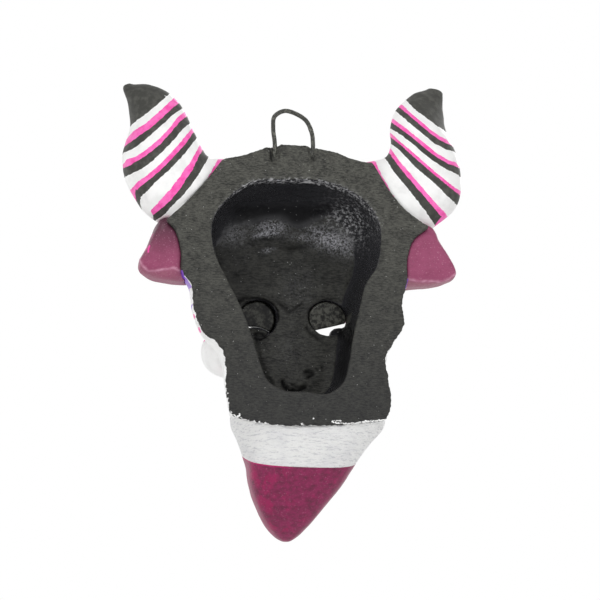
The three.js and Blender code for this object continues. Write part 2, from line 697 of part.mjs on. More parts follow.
function fangBody(side, grown = 0) {
  const x = EYE_MIDDLE[0] + side * FANG_SPACING / 2;
  const top = MOUTH_TOP - UPPER_LIP_RADIUS * 0.4;
  const cone = new THREE.ConeGeometry(FANG_RADIUS + grown, FANG_LENGTH + grown, 14);
  cone.rotateX(-Math.PI / 2);
  cone.translate(x, frontAt(x, top - FANG_LENGTH / 2) - FANG_RADIUS * 0.6, top - FANG_LENGTH / 2);
  return toSolid(cone);
}

function cutBy(body, ...others) {
  return others.reduce((left, other) => left.subtract(other), body);
}

function named(name, solid, finish) {
  const mesh = new THREE.Mesh(toGeometry(solid), new THREE.MeshStandardMaterial(finish));
  mesh.name = name;
  return mesh;
}

function hornsAndEars(shell) {
  const left = cutBy(hornBody(HORN_LEFT), shell, earBody(EAR_SLICES_LEFT, SEAM_GAP));
  const right = cutBy(hornBody(HORN_RIGHT), shell, earBody(EAR_SLICES_RIGHT, SEAM_GAP));
  return [
    named('horn_left', left, HORN_WHITE),
    named('horn_right', right, HORN_WHITE),
    named('ear_left', cutBy(earBody(EAR_SLICES_LEFT), shell), PLUM),
    named('ear_right', cutBy(earBody(EAR_SLICES_RIGHT), shell), PLUM),
  ];
}

function eyePieces(shell, side, word) {
  const plug = cutBy(eyePlug(side), lidKnife(side), eyeFill(side, SEAM_GAP));
  const upper = cutBy(upperLidBody(side), shell).add(plug);
  const lower = cutBy(lowerLidBody(side), shell, upperLidBody(side, SEAM_GAP));
  const brow = cutBy(browBody(side), shell, upperLidBody(side, SEAM_GAP));
  return [
    named(`upper_eyelid_${word}`, upper, PINK),
    named(`lower_eyelid_${word}`, lower, PINK),
    named(`brow_${word}`, brow, BACK_BLACK),
  ];
}

function noseAndCheeks(shell) {
  const around = [1, -1].flatMap((side) => [
    upperLidBody(side, SEAM_GAP), lowerLidBody(side, SEAM_GAP), browBody(side, SEAM_GAP),
  ]);
  const nose = cutBy(noseBody(), shell, ...around);
  const cheeks = [1, -1].map((side) => cutBy(cheekBody(side), shell, ...around, noseBody(SEAM_GAP)));
  return [
    named('nose', nose, PLUM),
    named('cheek_left', cheeks[0], FACE_WHITE),
    named('cheek_right', cheeks[1], FACE_WHITE),
  ];
}

function mouth(shell) {
  const above = [noseBody(SEAM_GAP), cheekBody(1, SEAM_GAP), cheekBody(-1, SEAM_GAP)];
  const upper = cutBy(upperLipBody(), shell, ...above);
  const lower = cutBy(lowerLipBody(), shell, ...above, upperLipBody(SEAM_GAP));
  const lips = [upperLipBody(SEAM_GAP), lowerLipBody(SEAM_GAP)];
  const fangs = [1, -1].map((side) => cutBy(fangBody(side), shell, ...lips));
  const grownFangs = [fangBody(1, SEAM_GAP), fangBody(-1, SEAM_GAP)];
  const row = cutBy(toothRowBody(), shell, ...lips, ...grownFangs);
  return [
    named('upper_lip', upper, PLUM), named('lower_lip', lower, PLUM), named('teeth_upper', row, TOOTH_WHITE),
    named('fang_left', fangs[0], TOOTH_WHITE), named('fang_right', fangs[1], TOOTH_WHITE),
  ];
}

function chinAndBeard(shell) {
  const whole = cutBy(beardBody(), shell, lowerLipBody(SEAM_GAP));
  const chin = whole.intersect(besideBeardJoint(1));
  const beard = whole.intersect(besideBeardJoint(-1));
  return [named('chin', chin, FACE_WHITE), named('beard', beard, PLUM)];
}

function buildWallHanging() {
  const shell = shellBody(SEAM_GAP);
  const group = new THREE.Group();
  group.add(
    named('face_shell', faceShell(), BACK_BLACK),
    ...hornsAndEars(shell),
    ...eyePieces(shell, 1, 'left'),
    ...eyePieces(shell, -1, 'right'),
    ...noseAndCheeks(shell),
    ...mouth(shell),
    ...chinAndBeard(shell),
    named('hanging_wire', wireTube(WIRE_DIAMETER / 2), WIRE_GREY),
  );
  return group;
}

export default buildWallHanging();
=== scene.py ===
"""Ceramic devil wall hanging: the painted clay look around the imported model.

Lengths are millimetres until a mesh is made, and metres after that. The flat back rim lies in the plane
y = 0 and faces +Y, the face looks along -Y, and +X is the devil's left side. Points written as pairs are
[x, z] places. Each clay piece is a fine closed mesh with the evenness of hand work, made from the sizes of
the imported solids, and it replaces the node of its own name.
"""
import math
from types import SimpleNamespace

import bpy
import numpy as np
from mathutils import Matrix, Vector


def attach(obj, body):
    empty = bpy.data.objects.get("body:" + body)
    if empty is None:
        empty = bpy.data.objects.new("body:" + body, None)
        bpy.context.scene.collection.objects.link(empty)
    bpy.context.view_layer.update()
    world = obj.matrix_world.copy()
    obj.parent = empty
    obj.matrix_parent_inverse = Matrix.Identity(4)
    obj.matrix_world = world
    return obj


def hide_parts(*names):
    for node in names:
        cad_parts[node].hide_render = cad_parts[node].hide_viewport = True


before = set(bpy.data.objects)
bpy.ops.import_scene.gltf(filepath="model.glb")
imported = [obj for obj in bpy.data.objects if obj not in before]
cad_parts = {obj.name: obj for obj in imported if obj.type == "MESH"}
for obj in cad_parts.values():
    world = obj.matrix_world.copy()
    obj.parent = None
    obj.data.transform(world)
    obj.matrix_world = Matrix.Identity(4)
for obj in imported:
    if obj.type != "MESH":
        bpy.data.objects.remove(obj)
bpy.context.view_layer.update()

MM = 0.001

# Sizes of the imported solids

SHELL_DEPTH = 48.0
SHELL_FULLNESS = 2.4
RIM_BLEND_ANGLE = 55.0
FACE_CENTRE = (0.0, -60.0)
MOUTH_TOP = -106.0
TOP_EDGE = [(-28, 2.7), (-17, 6.3), (-5.5, 8.4), (5, 9.2), (16.5, 7.6), (27, 3.7)]
HORN_SEAT_LEFT = [(40.3, 0.2), (47.1, -9.3), (56.8, -20.5), (68.8, -31.8)]
EAR_SEAT_LEFT = [(64, -37), (61, -47), (60.5, -57.5)]
SIDE_LEFT = [(55.5, -63.5), (54.4, -76), (49.4, -88.2), (40.4, -95), (38.3, -101.5), (38, -117)]
CHIN_SEAT = [(36, -130.5), (14, -133.4), (-16, -132.5), (-43, -129.5)]
SIDE_RIGHT = [(-45.5, -121), (-43.5, -106), (-42.5, -97), (-47, -89), (-52, -80), (-51, -68)]
EAR_SEAT_RIGHT = [(-53.8, -58), (-53.5, -48), (-57, -37)]
HORN_SEAT_RIGHT = [(-65.3, -30), (-54.4, -22.8), (-46.4, -14.3), (-36.1, 2)]

HOLLOW_DEPTH = 36.0
HOLLOW_LOW_SHARE = 0.78
HOLLOW_WALL_INSET = 7.0
HOLLOW_LOW_INSET = 2.5
HOLLOW_TOP_DRAFT = 0.8
HOLLOW_OUTLINE = [
    (24, -10), (8, -8.6), (-8, -8.4), (-20, -11), (-32, -17.5), (-39, -27), (-40.3, -38), (-38, -51.5),
    (-32.5, -60.5), (-29, -75), (-26, -88), (-24, -101), (-21, -111), (-13, -116.8), (-1, -116.2),
    (9, -116), (17, -111.5), (21.5, -101), (25.5, -88), (32, -72), (38, -60.5), (44, -48), (45.8, -35),
    (43, -26), (34, -16),
]
HOLLOW_WALLS = [(-0.15, 0), (0.3, 0.1), (0.6, 0.28), (0.82, 0.55), (0.95, 0.95), (1, 1.6)]

EYE_MIDDLE = (-2.2, -72.4)
EYE_SPACING = 35.3
EYE_HOLE_RADIUS = 10.0
EYE_PLUG_RADIUS = 9.4
EYE_PLUG_SHIFT = 0.2
EYE_PLUG_SETS = {1: 2.2, -1: 0.2}
EYE_PLUG_ROUND = 0.9
EYE_TRIMS = {1: -0.25, -1: 0.45}
EYE_PLUG_CAP_SHARES = [(0, 0.7), (0.1, 0.9), (0.35, 0.97), (1, 1)]
EYE_HOLE_LIMIT = ((-0.3, 2.0), 10.0)
EYE_FILLS = {1: ((1.5, -8.2), (9, 6, 4.4)), -1: ((-7.2, -6.2), (5.2, 6, 3.4))}
LID_MARGIN = 5.0
LID_THICKNESS = 6.0
LID_EDGE_DROPS = {1: 3.0, -1: 1.2}
LID_SLANT = 15.0
LID_UNDERCUT = 14.0
LOWER_LID_RADIUS = 2.9
LOWER_LID_LENGTH = 25.0
LOWER_LID_GAP = 0.4
BROW_RADIUS = 5.6
BROW_GAP_ABOVE_LID = 1.5
BROW_ROUTE = [(-12, -6), (0, 1.5), (12, 4), (22, 8)]
NOSE_TOP = -64.4
NOSE_LENGTH = 34.0
NOSE_BRIDGE_RADIUS = 6.5
NOSE_BRIDGE_RISE = 6.0
NOSE_TIP_RADIUS = 11.0
NOSE_RISE = 11.0
NOSTRIL_RADIUS = 6.5
NOSTRIL_SPACING = 19.0
NOSTRIL_RISE = 4.0
CHEEK_RADIUS = 13.0
CHEEK_SPACING = 68.0
CHEEK_HEIGHT = -91.0
CHEEK_DEPTH = 1.5
MOUTH_HALF_WIDTH = 24.0
MOUTH_OPENING = 18.0
UPPER_LIP_RADIUS = 4.0
LOWER_LIP_RADIUS = 4.2
LIP_LIFT = 1.0
TOOTH_HEIGHT = 6.0
TOOTH_ROW_HALF_WIDTH = 10.0
FANG_RADIUS = 2.8
FANG_LENGTH = 10.0
FANG_SPACING = 27.0

HORN_THICKNESS = 29.0
HORN_BACK_SETBACK = 1.2
HORN_LEAN = [0, 0, 0.5, 1.5, 3, 6, 9.5, 13]
HORN_SHARES = [0.92, 1, 1, 0.98, 0.9, 0.68, 0.42, 0.2]
HORNS = {
    "left": (
        [(35, 3.4), (45, 4.4), (50.5, 13.8), (54, 22), (57.4, 29.8), (64.4, 38), (73.8, 42.4), (81, 43)],
        [(61.8, -34.5), (75.2, -26.3), (81.9, -17.6), (86.8, -7), (87.4, 5.6), (83.3, 19.6), (83.5, 30), (86.2, 41)],
    ),
    "right": (
        [(-34, 4.6), (-45.5, 8), (-48.7, 15.9), (-48.4, 23.6), (-51, 32.5), (-56.2, 38.8), (-62.5, 44.2),
         (-69.4, 47.4)],
        [(-57, -35), (-73.4, -24.6), (-82.6, -14.6), (-84.5, -0.1), (-81.8, 12.7), (-77.7, 24.4), (-77.3, 34.2),
         (-78.1, 45.6)],
    ),
}

EAR_THICKNESS = 24.0
EAR_BACK_SETBACK = 2.0
EAR_SHARES = [1, 1, 0.9, 0.78, 0.63, 0.47, 0.28]
EAR_SQUARE_SECTION = 0.5
EARS = {
    "left": [
        (50, -61, -30), (62, -61.2, -29), (69.5, -60.6, -29.6), (73.4, -59.9, -36.6), (76.8, -58.8, -44.8),
        (79.7, -57.7, -49.4), (81.4, -56.2, -52.8),
    ],
    "right": [
        (-46, -59.7, -33), (-58, -59.3, -28), (-66.8, -58.4, -28), (-71, -57.5, -35.4), (-75, -56.5, -42.2),
        (-77.9, -55.4, -47.6), (-79.3, -53.8, -51.8),
    ],
}

BEARD_JOINT = (-24.0, -146.6)
BEARD_JOINT_TILT = 23.0
BEARD_SQUARE_SECTION = 0.7
CHIN_SLICES = [
    (-119, -6, 22, 6, 24), (-124, -6.1, 37.4, 3, 30), (-130, -6.2, 38.4, 0.8, 36), (-138, -5.1, 33, 2.6, 40),
    (-148, -3.8, 27.6, 7.5, 42), (-158, -1.9, 23.3, 13, 44), (-168.5, -0.3, 17.0, 21, 46),
    (-177.3, 0.3, 10.8, 29, 47.5), (-182.4, 0.1, 5.2, 35.5, 47.5), (-184.6, -0.1, 1.8, 39.5, 44.5),
]

WIRE_DIAMETER = 2.1
WIRE_DEPTH = 1.7
WIRE_END_DEPTH = 9.0
WIRE_LEG_LEFT = (13.8, 1.2)
WIRE_LEG_RIGHT = (-5.4, 2)
WIRE_BUMP = (308, 130)
WIRE_ROUTE = [
    (13.5, 9), (14.4, 18), (13.5, 23.6), (8.4, 26.4), (3, 25.4), (-2.2, 21.9), (-5.1, 16.6), (-6, 9.8),
]

# The photograph's view

VIEW_AZIMUTH = 169.0
VIEW_ELEVATION = -12.0
PHOTO_SCALE = 2.0
PHOTO_ORIGIN = (302.0, 163.0)
PHOTO_CENTRE = (300.0, 300.0)
CAMERA_DISTANCE = 4000.0
SENSOR_WIDTH = 36.0


def view_axes():
    a = math.radians(VIEW_AZIMUTH)
    e = math.radians(VIEW_ELEVATION)
    back = np.array([math.sin(a) * math.cos(e), -math.cos(a) * math.cos(e), math.sin(e)])
    forward = -back
    right = np.cross(forward, [0, 0, 1])
    right /= np.linalg.norm(right)
    return right, np.cross(right, forward), forward


RIGHT, UP, FORWARD = view_axes()


def seen_at(points):
    """Photo pixels of places in space."""
    return np.stack([
        PHOTO_ORIGIN[0] + PHOTO_SCALE * points @ RIGHT,
        PHOTO_ORIGIN[1] - PHOTO_SCALE * points @ UP,
    ], axis=1)


def place_at(pixel, depth):
    """Place in the plane y = depth that shows at a photo pixel."""
    across = (pixel[0] - PHOTO_ORIGIN[0]) / PHOTO_SCALE
    upward = (PHOTO_ORIGIN[1] - pixel[1]) / PHOTO_SCALE
    x, z = np.linalg.solve(
        [[RIGHT[0], RIGHT[2]], [UP[0], UP[2]]],
        [across - RIGHT[1] * depth, upward - UP[1] * depth],
    )
    return np.array([x, depth, z])


# Curves, noise and meshes

def curve_points(points, steps, closed=False):
    """Evenly stepped places on the smooth curve through the points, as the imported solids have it."""
    points = np.asarray(points, float)
    count = len(points)
    stretch = count if closed else count - 1
    if closed:
        padded = points[np.arange(-1, count + 2) % count]
    else:
        padded = [2 * points[0] - points[1], *points, 2 * points[-1] - points[-2]]
    out = []
    for at in stretch * np.arange(steps + (not closed)) / steps:
        i = min(int(at), stretch - 1)
        w, p = at - i, padded[i:i + 4]
        d = [max(np.linalg.norm(p[k + 1] - p[k]), 1e-6) ** 0.5 for k in range(3)]
        t1, t2 = (((p[k + 1] - p[k]) / d[k] - (p[k + 2] - p[k]) / (d[k] + d[k + 1])
                   + (p[k + 2] - p[k + 1]) / d[k + 1]) * d[1] for k in range(2))
        c2 = -3 * p[1] + 3 * p[2] - 2 * t1 - t2
        c3 = 2 * p[1] - 2 * p[2] + t1 + t2
        out.append(p[1] + t1 * w + c2 * w ** 2 + c3 * w ** 3)
    return np.array(out)


class Noise:
    """Smooth random field in space, the same in each run."""

    def __init__(self, seed):
        draw = np.random.RandomState(seed)
        self.order = np.tile(draw.permutation(256), 3)
        gradients = draw.normal(size=(256, 3))
        self.gradients = gradients / np.linalg.norm(gradients, axis=1)[:, None]

    def at(self, points, wavelength):
        p = np.asarray(points, float) / wavelength + 100.0
        cell = np.floor(p).astype(int)
        local = p - cell
        blend = local ** 3 * (local * (local * 6 - 15) + 10)
        total = 0
        for corner in range(8):
            offset = np.array([(corner >> k) & 1 for k in range(3)])
            c = (cell + offset) & 255
            key = self.order[self.order[self.order[c[:, 0]] + c[:, 1]] + c[:, 2]]
            value = np.sum(self.gradients[key] * (local - offset), axis=1)
            weight = np.prod(np.where(offset == 1, blend, 1 - blend), axis=1)
            total = total + value * weight
        return total * 1.6

    def layers(self, points, wavelength, count, falloff=0.5):
        total, strength = 0, 1.0
        for k in range(count):
            total = total + strength * self.at(np.asarray(points) + 37.0 * k, wavelength / 2 ** k)
            strength *= falloff
        return total


LUMPS, GRAIN, RAGGED = Noise(11), Noise(23), Noise(37)


def smooth_step(value, low, high):
    t = np.clip((value - low) / (high - low), 0, 1)
    return t * t * (3 - 2 * t)


def near(distance, half):
    """1 at distance 0, fading out softly over the half width."""
    return np.exp(-(distance / half) ** 2)


def placed(name, data):
    obj = bpy.data.objects.new(name, data)
    bpy.context.scene.collection.objects.link(obj)
    return obj


def new_object(name, points, faces):
    mesh = bpy.data.meshes.new(name)
    mesh.from_pydata([tuple(p) for p in np.asarray(points, float)], [], faces)
    mesh.update()
    return placed(name, mesh)


def loft(name, rings):
    """Closed body through rings of equal point counts, with its faces turned outward."""
    rings = [np.asarray(r, float) for r in rings]
    count = len(rings[0])
    points = np.concatenate([*rings, [rings[0].mean(axis=0)], [rings[-1].mean(axis=0)]])
    first, last, top = len(points) - 2, len(points) - 1, (len(rings) - 1) * count
    faces = []
    for i in range(count):
        n = (i + 1) % count
        faces += [(first, n, i), (last, top + i, top + n)]
        faces += [(a + i, a + n, a + count + n, a + count + i) for a in range(0, top, count)]
    volume = sum(np.dot(points[f[0]], np.cross(points[f[k]], points[f[k + 1]]))
                 for f in faces for k in range(1, len(f) - 1))
    if volume < 0:
        faces = [tuple(reversed(f)) for f in faces]
    return new_object(name, points, faces)


def ring(centre, a, b, count, power=1.0):
    """Oval with the half axes a and b; a power under 1 squares it off."""
    turn = np.linspace(0, 2 * np.pi, count, endpoint=False)[:, None]
    across, up = (np.sign(v) * np.abs(v) ** power for v in (np.cos(turn), np.sin(turn)))
    return np.asarray(centre, float) + across * np.asarray(a, float) + up * np.asarray(b, float)


def tube(centre, profile, count=64):
    """Round body along y through (depth, radius) pairs."""
    x, z = centre
    return loft("tube", [ring((x, y, z), (radius, 0, 0), (0, 0, radius), count) for y, radius in profile])


def ball(centre, radii, levels=28, count=48):
    polars = [math.pi * k / levels for k in range(1, levels)]
    return loft("ball", [centre + radii * ring(
        (0, 0, math.cos(p)), (math.sin(p), 0, 0), (0, math.sin(p), 0), count) for p in polars])


def modified(obj, kind, **settings):
    """Gives the object a modifier and applies it."""
    modifier = obj.modifiers.new(kind, kind)
    for key, value in settings.items():
        setattr(modifier, key, value)
    graph = bpy.context.evaluated_depsgraph_get()
    old, mesh = obj.data, bpy.data.meshes.new_from_object(obj.evaluated_get(graph))
    obj.modifiers.clear()
    obj.data = mesh
    bpy.data.meshes.remove(old)
    return obj


def combine(obj, other, operation="DIFFERENCE"):
    """Joins the other body to the object, or takes it away, and drops the other body."""
    modified(obj, "BOOLEAN", operation=operation, solver="MANIFOLD", object=other)
    bpy.data.objects.remove(other)
    return obj


def cut(obj, *others):
    """Takes bodies away from the object and keeps them."""
    for other in others:
        modified(obj, "BOOLEAN", operation="DIFFERENCE", solver="MANIFOLD", object=other)
    return obj


def points_of(obj, kind="co"):
    out = np.empty(len(obj.data.vertices) * 3)
    obj.data.vertices.foreach_get(kind, out)
    return out.reshape(-1, 3)


def normals_of(obj):
    return points_of(obj, "normal")


def toward_photo(obj):
    """How much the surface at each point turns to the camera of the photo, from -1 to 1."""
    return normals_of(obj) @ -FORWARD


def set_points(obj, points):
    obj.data.vertices.foreach_set("co", np.asarray(points, float).ravel())
    obj.data.update()


def smoothed(obj, rounds, strength=0.6, weights=None):
    edges = np.empty(len(obj.data.edges) * 2, int)
    obj.data.edges.foreach_get("vertices", edges)
    a, b = edges.reshape(-1, 2).T
    points = points_of(obj)
    size = len(points)
    count = np.maximum(np.bincount(a, minlength=size) + np.bincount(b, minlength=size), 1)[:, None]
    hold = strength if weights is None else strength * weights[:, None]
    for _ in range(rounds):
        total = np.stack([np.bincount(a, p[b], size) + np.bincount(b, p[a], size) for p in points.T], axis=1)
        points = points + hold * (total / count - points)
    set_points(obj, points)
    return obj


def evened(obj, voxel, rounds):
    """Remeshes the body in cells of one size and smooths it."""
    return smoothed(modified(obj, "REMESH", mode="VOXEL", voxel_size=voxel, adaptivity=0), rounds)


def push(obj, distances):
    set_points(obj, points_of(obj) + normals_of(obj) * np.asarray(distances)[:, None])
    return obj


def clay_piece(body, *cutters, voxel=0.6, rounds=3, lumps=(0.16, 8), grain=(0.04, 2.2)):
    """Cuts a piece to its neighbours and gives it the lumps and grain of hand work: height and size in mm."""
    points = points_of(evened(cut(body, *cutters), voxel, rounds))
    return push(body, lumps[0] * LUMPS.layers(points, lumps[1], 2) + grain[0] * GRAIN.at(points, grain[1]))


def set_fields(obj, **fields):
    for name, values in fields.items():
        attribute = obj.data.attributes.new(name, "FLOAT", "POINT")
        count = len(obj.data.vertices)
        attribute.data.foreach_set("value", np.array(np.broadcast_to(values, count), np.float32))


def finish_piece(obj, node, material):
    """Takes a millimetre mesh to metres, shades it, and lets it stand for its node."""
    set_points(obj, points_of(obj) * MM)
    obj.data.polygons.foreach_set("use_smooth", np.ones(len(obj.data.polygons), bool))
    obj.data.materials.clear()
    obj.data.materials.append(material)
    obj.name = node + "_clay"
    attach(obj, "root")
    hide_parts(node)


# The mask body

OUTLINE = np.concatenate([curve_points(pairs, len(pairs) * 7)[:-1] for pairs in (
    [HORN_SEAT_RIGHT[-1], *TOP_EDGE, HORN_SEAT_LEFT[0]],
    HORN_SEAT_LEFT,
    [HORN_SEAT_LEFT[-1], *EAR_SEAT_LEFT, *SIDE_LEFT, CHIN_SEAT[0]],
    CHIN_SEAT,
    [CHIN_SEAT[-1], *SIDE_RIGHT, *EAR_SEAT_RIGHT, HORN_SEAT_RIGHT[0]],
    HORN_SEAT_RIGHT,
)])
HOLLOW_EDGE = curve_points(HOLLOW_OUTLINE, 160, True)
DIRECTIONS = np.radians(np.arange(-180, 180.01, 0.5))


def rim_tables():
    """Distance from the middle of the face to the rim for each direction, sharp and evened out."""
    a = OUTLINE - FACE_CENTRE
    e = np.roll(a, -1, axis=0) - a
    dx, dz = np.cos(DIRECTIONS)[:, None], np.sin(DIRECTIONS)[:, None]
    cross = dx * e[:, 1] - dz * e[:, 0]
    cross = np.where(np.abs(cross) < 1e-9, 1e-9, cross)
    along = (a[:, 0] * e[:, 1] - a[:, 1] * e[:, 0]) / cross
    across = (a[:, 0] * dz - a[:, 1] * dx) / cross
    hit = (along > 0) & (across >= -1e-6) & (across <= 1 + 1e-6)
    rim = np.where(hit, along, 0).max(axis=1)
    turns = np.linspace(-1, 1, 111)[1:-1]
    shifted = [np.interp(DIRECTIONS + t * math.radians(RIM_BLEND_ANGLE), DIRECTIONS, rim, period=2 * np.pi)
               for t in turns]
    return rim, np.average(shifted, axis=0, weights=1 + np.cos(turns * np.pi))


RIM_TABLES = rim_tables()


def rim_radii(x, z):
    direction = np.arctan2(z - FACE_CENTRE[1], x - FACE_CENTRE[0])
    return [np.interp(direction, DIRECTIONS, table, period=2 * np.pi) for table in RIM_TABLES]


def level_radius(rim, soft, angle):
    return (rim + (soft - rim) * np.sin(angle)) * np.cos(angle) ** (2 / SHELL_FULLNESS)


def from_middle(x, z):
    return np.hypot(x - FACE_CENTRE[0], z - FACE_CENTRE[1])


def front_at(x, z):
    """Depth of the front of the mask body at places on the face."""
    x, z = np.atleast_1d(np.asarray(x, float)), np.atleast_1d(np.asarray(z, float))
    distance, radii = from_middle(x, z), rim_radii(x, z)
    low, high = np.zeros_like(distance), np.full_like(distance, math.pi / 2)
    for _ in range(24):
        angle = (low + high) / 2
        outside = level_radius(*radii, angle) > distance
        low, high = np.where(outside, angle, low), np.where(outside, high, angle)
    return -SHELL_DEPTH * np.sin(low)


def on_face(pair, lift=0.0):
    return np.array([pair[0], front_at(*pair)[0] - lift, pair[1]])


def face_place(side, along, z):
    return EYE_MIDDLE[0] + side * along, z


def eye_centre(side):
    return face_place(side, EYE_SPACING / 2, EYE_MIDDLE[1])


def eye_distances(places):
    return [np.linalg.norm(places - eye_centre(side), axis=1) for side in (1, -1)]


def drawn_in(x, z, stretch, y=0.0):
    """Ring of places at depth y, stretched from the middle of the face."""
    return np.stack([FACE_CENTRE[0] + (x - FACE_CENTRE[0]) * stretch, np.full_like(x, y),
                     FACE_CENTRE[1] + (z - FACE_CENTRE[1]) * stretch], axis=1)


def dome(grown=0.0, levels=56):
    x, z = OUTLINE.T
    distance, (_, soft) = from_middle(x, z), rim_radii(x, z)
    rings = []
    for k in range(levels):
        angle = (k / levels) ** 0.9 * math.pi / 2
        stretch = (level_radius(distance, soft, angle) + grown) / distance
        rings.append(drawn_in(x, z, stretch, -(SHELL_DEPTH + grown) * math.sin(angle)))
    if grown:
        rings.insert(0, rings[0] + [0, 3 + grown, 0])
    return loft("dome", rings)


def hollow():
    x, z = curve_points(HOLLOW_OUTLINE, len(HOLLOW_OUTLINE) * 9, True).T
    distance = from_middle(x, z)
    upward = np.maximum(0, (z - FACE_CENTRE[1]) / distance)
    low = smooth_step(FACE_CENTRE[1] - z, -10, 10)
    inset = HOLLOW_WALL_INSET * (1 + HOLLOW_TOP_DRAFT * upward) * (1 - low) + HOLLOW_LOW_INSET * low
    levels = [((distance - inset * i) / distance, share) for share, i in curve_points(HOLLOW_WALLS, 24)]
    levels += [(1 - k * 0.1, 1) for k in range(2, 8)]
    rings = []
    for stretch, share in levels:
        places = drawn_in(x, z, stretch)
        shallow = smooth_step(FACE_CENTRE[1] - places[:, 2], 5, 50)
        places[:, 1] = -HOLLOW_DEPTH * (1 + (HOLLOW_LOW_SHARE - 1) * shallow) * share
        rings.append(places)
    return loft("hollow", rings)


def within_eye_limit(body, side, play=0.0):
    """Keeps a drill or plug of the right eye inside the round that bounds its lower edge."""
    if side < 0:
        (x, z), ((shift_x, shift_z), radius) = eye_centre(side), EYE_HOLE_LIMIT
        limit = tube((x + shift_x, z + shift_z), [(y, radius - play) for y in (-15, -70)])
        combine(body, limit, "INTERSECT")
    return body


def eye_fill(side, grown=0.0):
    """Clay that stays in the lower part of an eye hole."""
    (x, z), ((shift_x, shift_z), half) = eye_centre(side), EYE_FILLS[side]
    depth = (front_at(x, z)[0] - HOLLOW_DEPTH) / 2
    return ball((x + shift_x, depth, z + shift_z), np.array(half, float) + grown)


def edge_distance(points, line, closed=True):
    """Distance in the face plane to a line of places."""
    a = np.asarray(line, float)
    b = np.roll(a, -1, axis=0)
    if not closed:
        a, b = a[:-1], b[:-1]
    best = np.full(len(points), 1e9)
    for p, q in zip(a, b):
        d = q - p
        t = np.clip(((points - p) @ d) / max(d @ d, 1e-9), 0, 1)
        best = np.minimum(best, np.linalg.norm(points - p - t[:, None] * d, axis=1))
    return best


def inside_outline(points, line):
    x, z = points.T
    inside = np.zeros(len(points), bool)
    a = np.asarray(line, float)
    for (ax, az), (bx, bz) in zip(a, np.roll(a, -1, axis=0)):
        crosses = (az > z) != (bz > z)
        with np.errstate(divide="ignore", invalid="ignore"):
            inside ^= crosses & (x < (bx - ax) * (z - az) / (bz - az) + ax)
    return inside


FAR = 9.0


def line_field(places, marks, unit=1.0):
    """Signed distance to drawn lines of a given half width, less than zero inside them."""
    return np.min([edge_distance(places, line, len(line) == 1) / unit - half for line, half in marks], axis=0)


def photo_field(obj, marks):
    """Signed distance in mm to lines drawn in photo pixels, on the side that the photo shows."""
    return np.where(toward_photo(obj) > 0, line_field(seen_at(points_of(obj)), marks, PHOTO_SCALE), FAR)


def stroke_field(places, strokes, depths):
    """Signed distance to paint strokes on the front, which come on both sides of the face."""
    both = []
    for line, half in strokes:
        for way in (line, [(2 * EYE_MIDDLE[0] - x, z) for x, z in line]):
            both.append((way if len(way) == 1 else curve_points(way, 14), half))
    return np.where(depths < -4, np.minimum(line_field(places, both), FAR), FAR)


def line_lift(seen, lines):
    """Height of drawn lines at places seen in the photo."""
    total = np.zeros(len(seen))
    for line, half, height in lines:
        low, high = np.min(line, axis=0) - 9, np.max(line, axis=0) + 9
        close = np.all((seen > low) & (seen < high), axis=1)
        away = edge_distance(seen[close], line, False) / PHOTO_SCALE
        total[close] = np.maximum(total[close], height * near(away, half))
    return total


def spot(seen, pixel, half, turn=0.0):
    """1 at a photo pixel, fading out over the half width and height of a turned oval."""
    c, s = math.cos(math.radians(turn)), math.sin(math.radians(turn))
    return np.exp(-(((seen - pixel) @ [[c, -s], [s, c]] / half) ** 2).sum(axis=1))


def shaken(seen, points, amount, seeds, size):
    """Photo pixels moved about a little, so that what is drawn there comes out uneven."""
    return seen + amount * np.stack([GRAIN.at(points + seed, size) for seed in seeds], axis=1)


def span(value, rise, fall):
    """1 between the two soft edges, each given by where it begins and ends, and 0 outside them."""
    return smooth_step(value, *rise) * (1 - smooth_step(value, *fall))


# Swells of the forehead and cheeks pressed into the hollow: photo pixel, half width and height in mm, rise
# in mm, and the photo line below which the swell breaks off, if it does
SWELLS = [
    ((270, 229), 10.0, 5.0, 2.9, 235.5), ((331, 241), 12.0, 6.5, 3.2, None), ((296, 226), 7.0, 4.0, -1.2, None),
    ((296, 246), 9.0, 1.8, -1.4, None), ((271, 249.5), 4.0, 1.6, 0.9, 252), ((232, 232), 7.0, 6.0, 1.2, None),
    ((365, 216), 7.0, 8.0, 1.4, None), ((290, 350), 9.0, 13.0, 0.9, None), ((318, 268), 12.0, 8.0, -0.8, None),
]

# Lines that fingers and tools left in the hollow, painted darker as shade: places in the photo, half width and depth in
# mm
CREASES = [
    ([(278.6, 303.6), (284, 307), (290, 311.6), (292, 311), (302, 303.6)], 0.7, 0.8),
    ([(256.5, 338), (259, 350), (262, 363), (266, 374), (273, 383.5)], 0.9, 0.8),
    ([(264, 301), (271, 305), (276, 311), (277, 318), (273.5, 324), (269, 329)], 0.9, 1.7),
    ([(269, 308), (272.5, 314), (271, 321)], 0.6, 0.8),
    ([(238, 303), (244, 298.6), (253, 298.2), (262, 300.5)], 0.7, 1.1),
    ([(307, 327), (311, 333), (318, 338)], 0.8, 0.9),
    ([(283, 381), (284, 386.5), (290, 390.5), (298, 390), (305, 387.5)], 0.8, 1.5),
    ([(292, 385), (298, 387.5), (304, 385.5)], 0.6, 0.9),
    ([(306, 372), (312, 371.5), (313, 375), (309, 377)], 0.9, 1.2),
    ([(317, 369.5), (318, 370)], 0.6, 0.7), ([(322, 367), (323, 367.5)], 0.6, 0.7),
    ([(301, 292), (306, 290.5)], 0.5, 0.5), ([(234, 274), (238, 276)], 0.7, 0.5),
    ([(255, 334), (259, 331.5), (264, 333), (265, 337), (260, 339.5), (255, 337.5)], 0.6, 1.1),
]
RIDGES = [
    ([(242, 300.5), (248, 300), (256, 300.5), (263, 303)], 0.7, 0.8),
    ([(252, 331), (257, 341), (266, 339)], 0.8, 0.6),
]

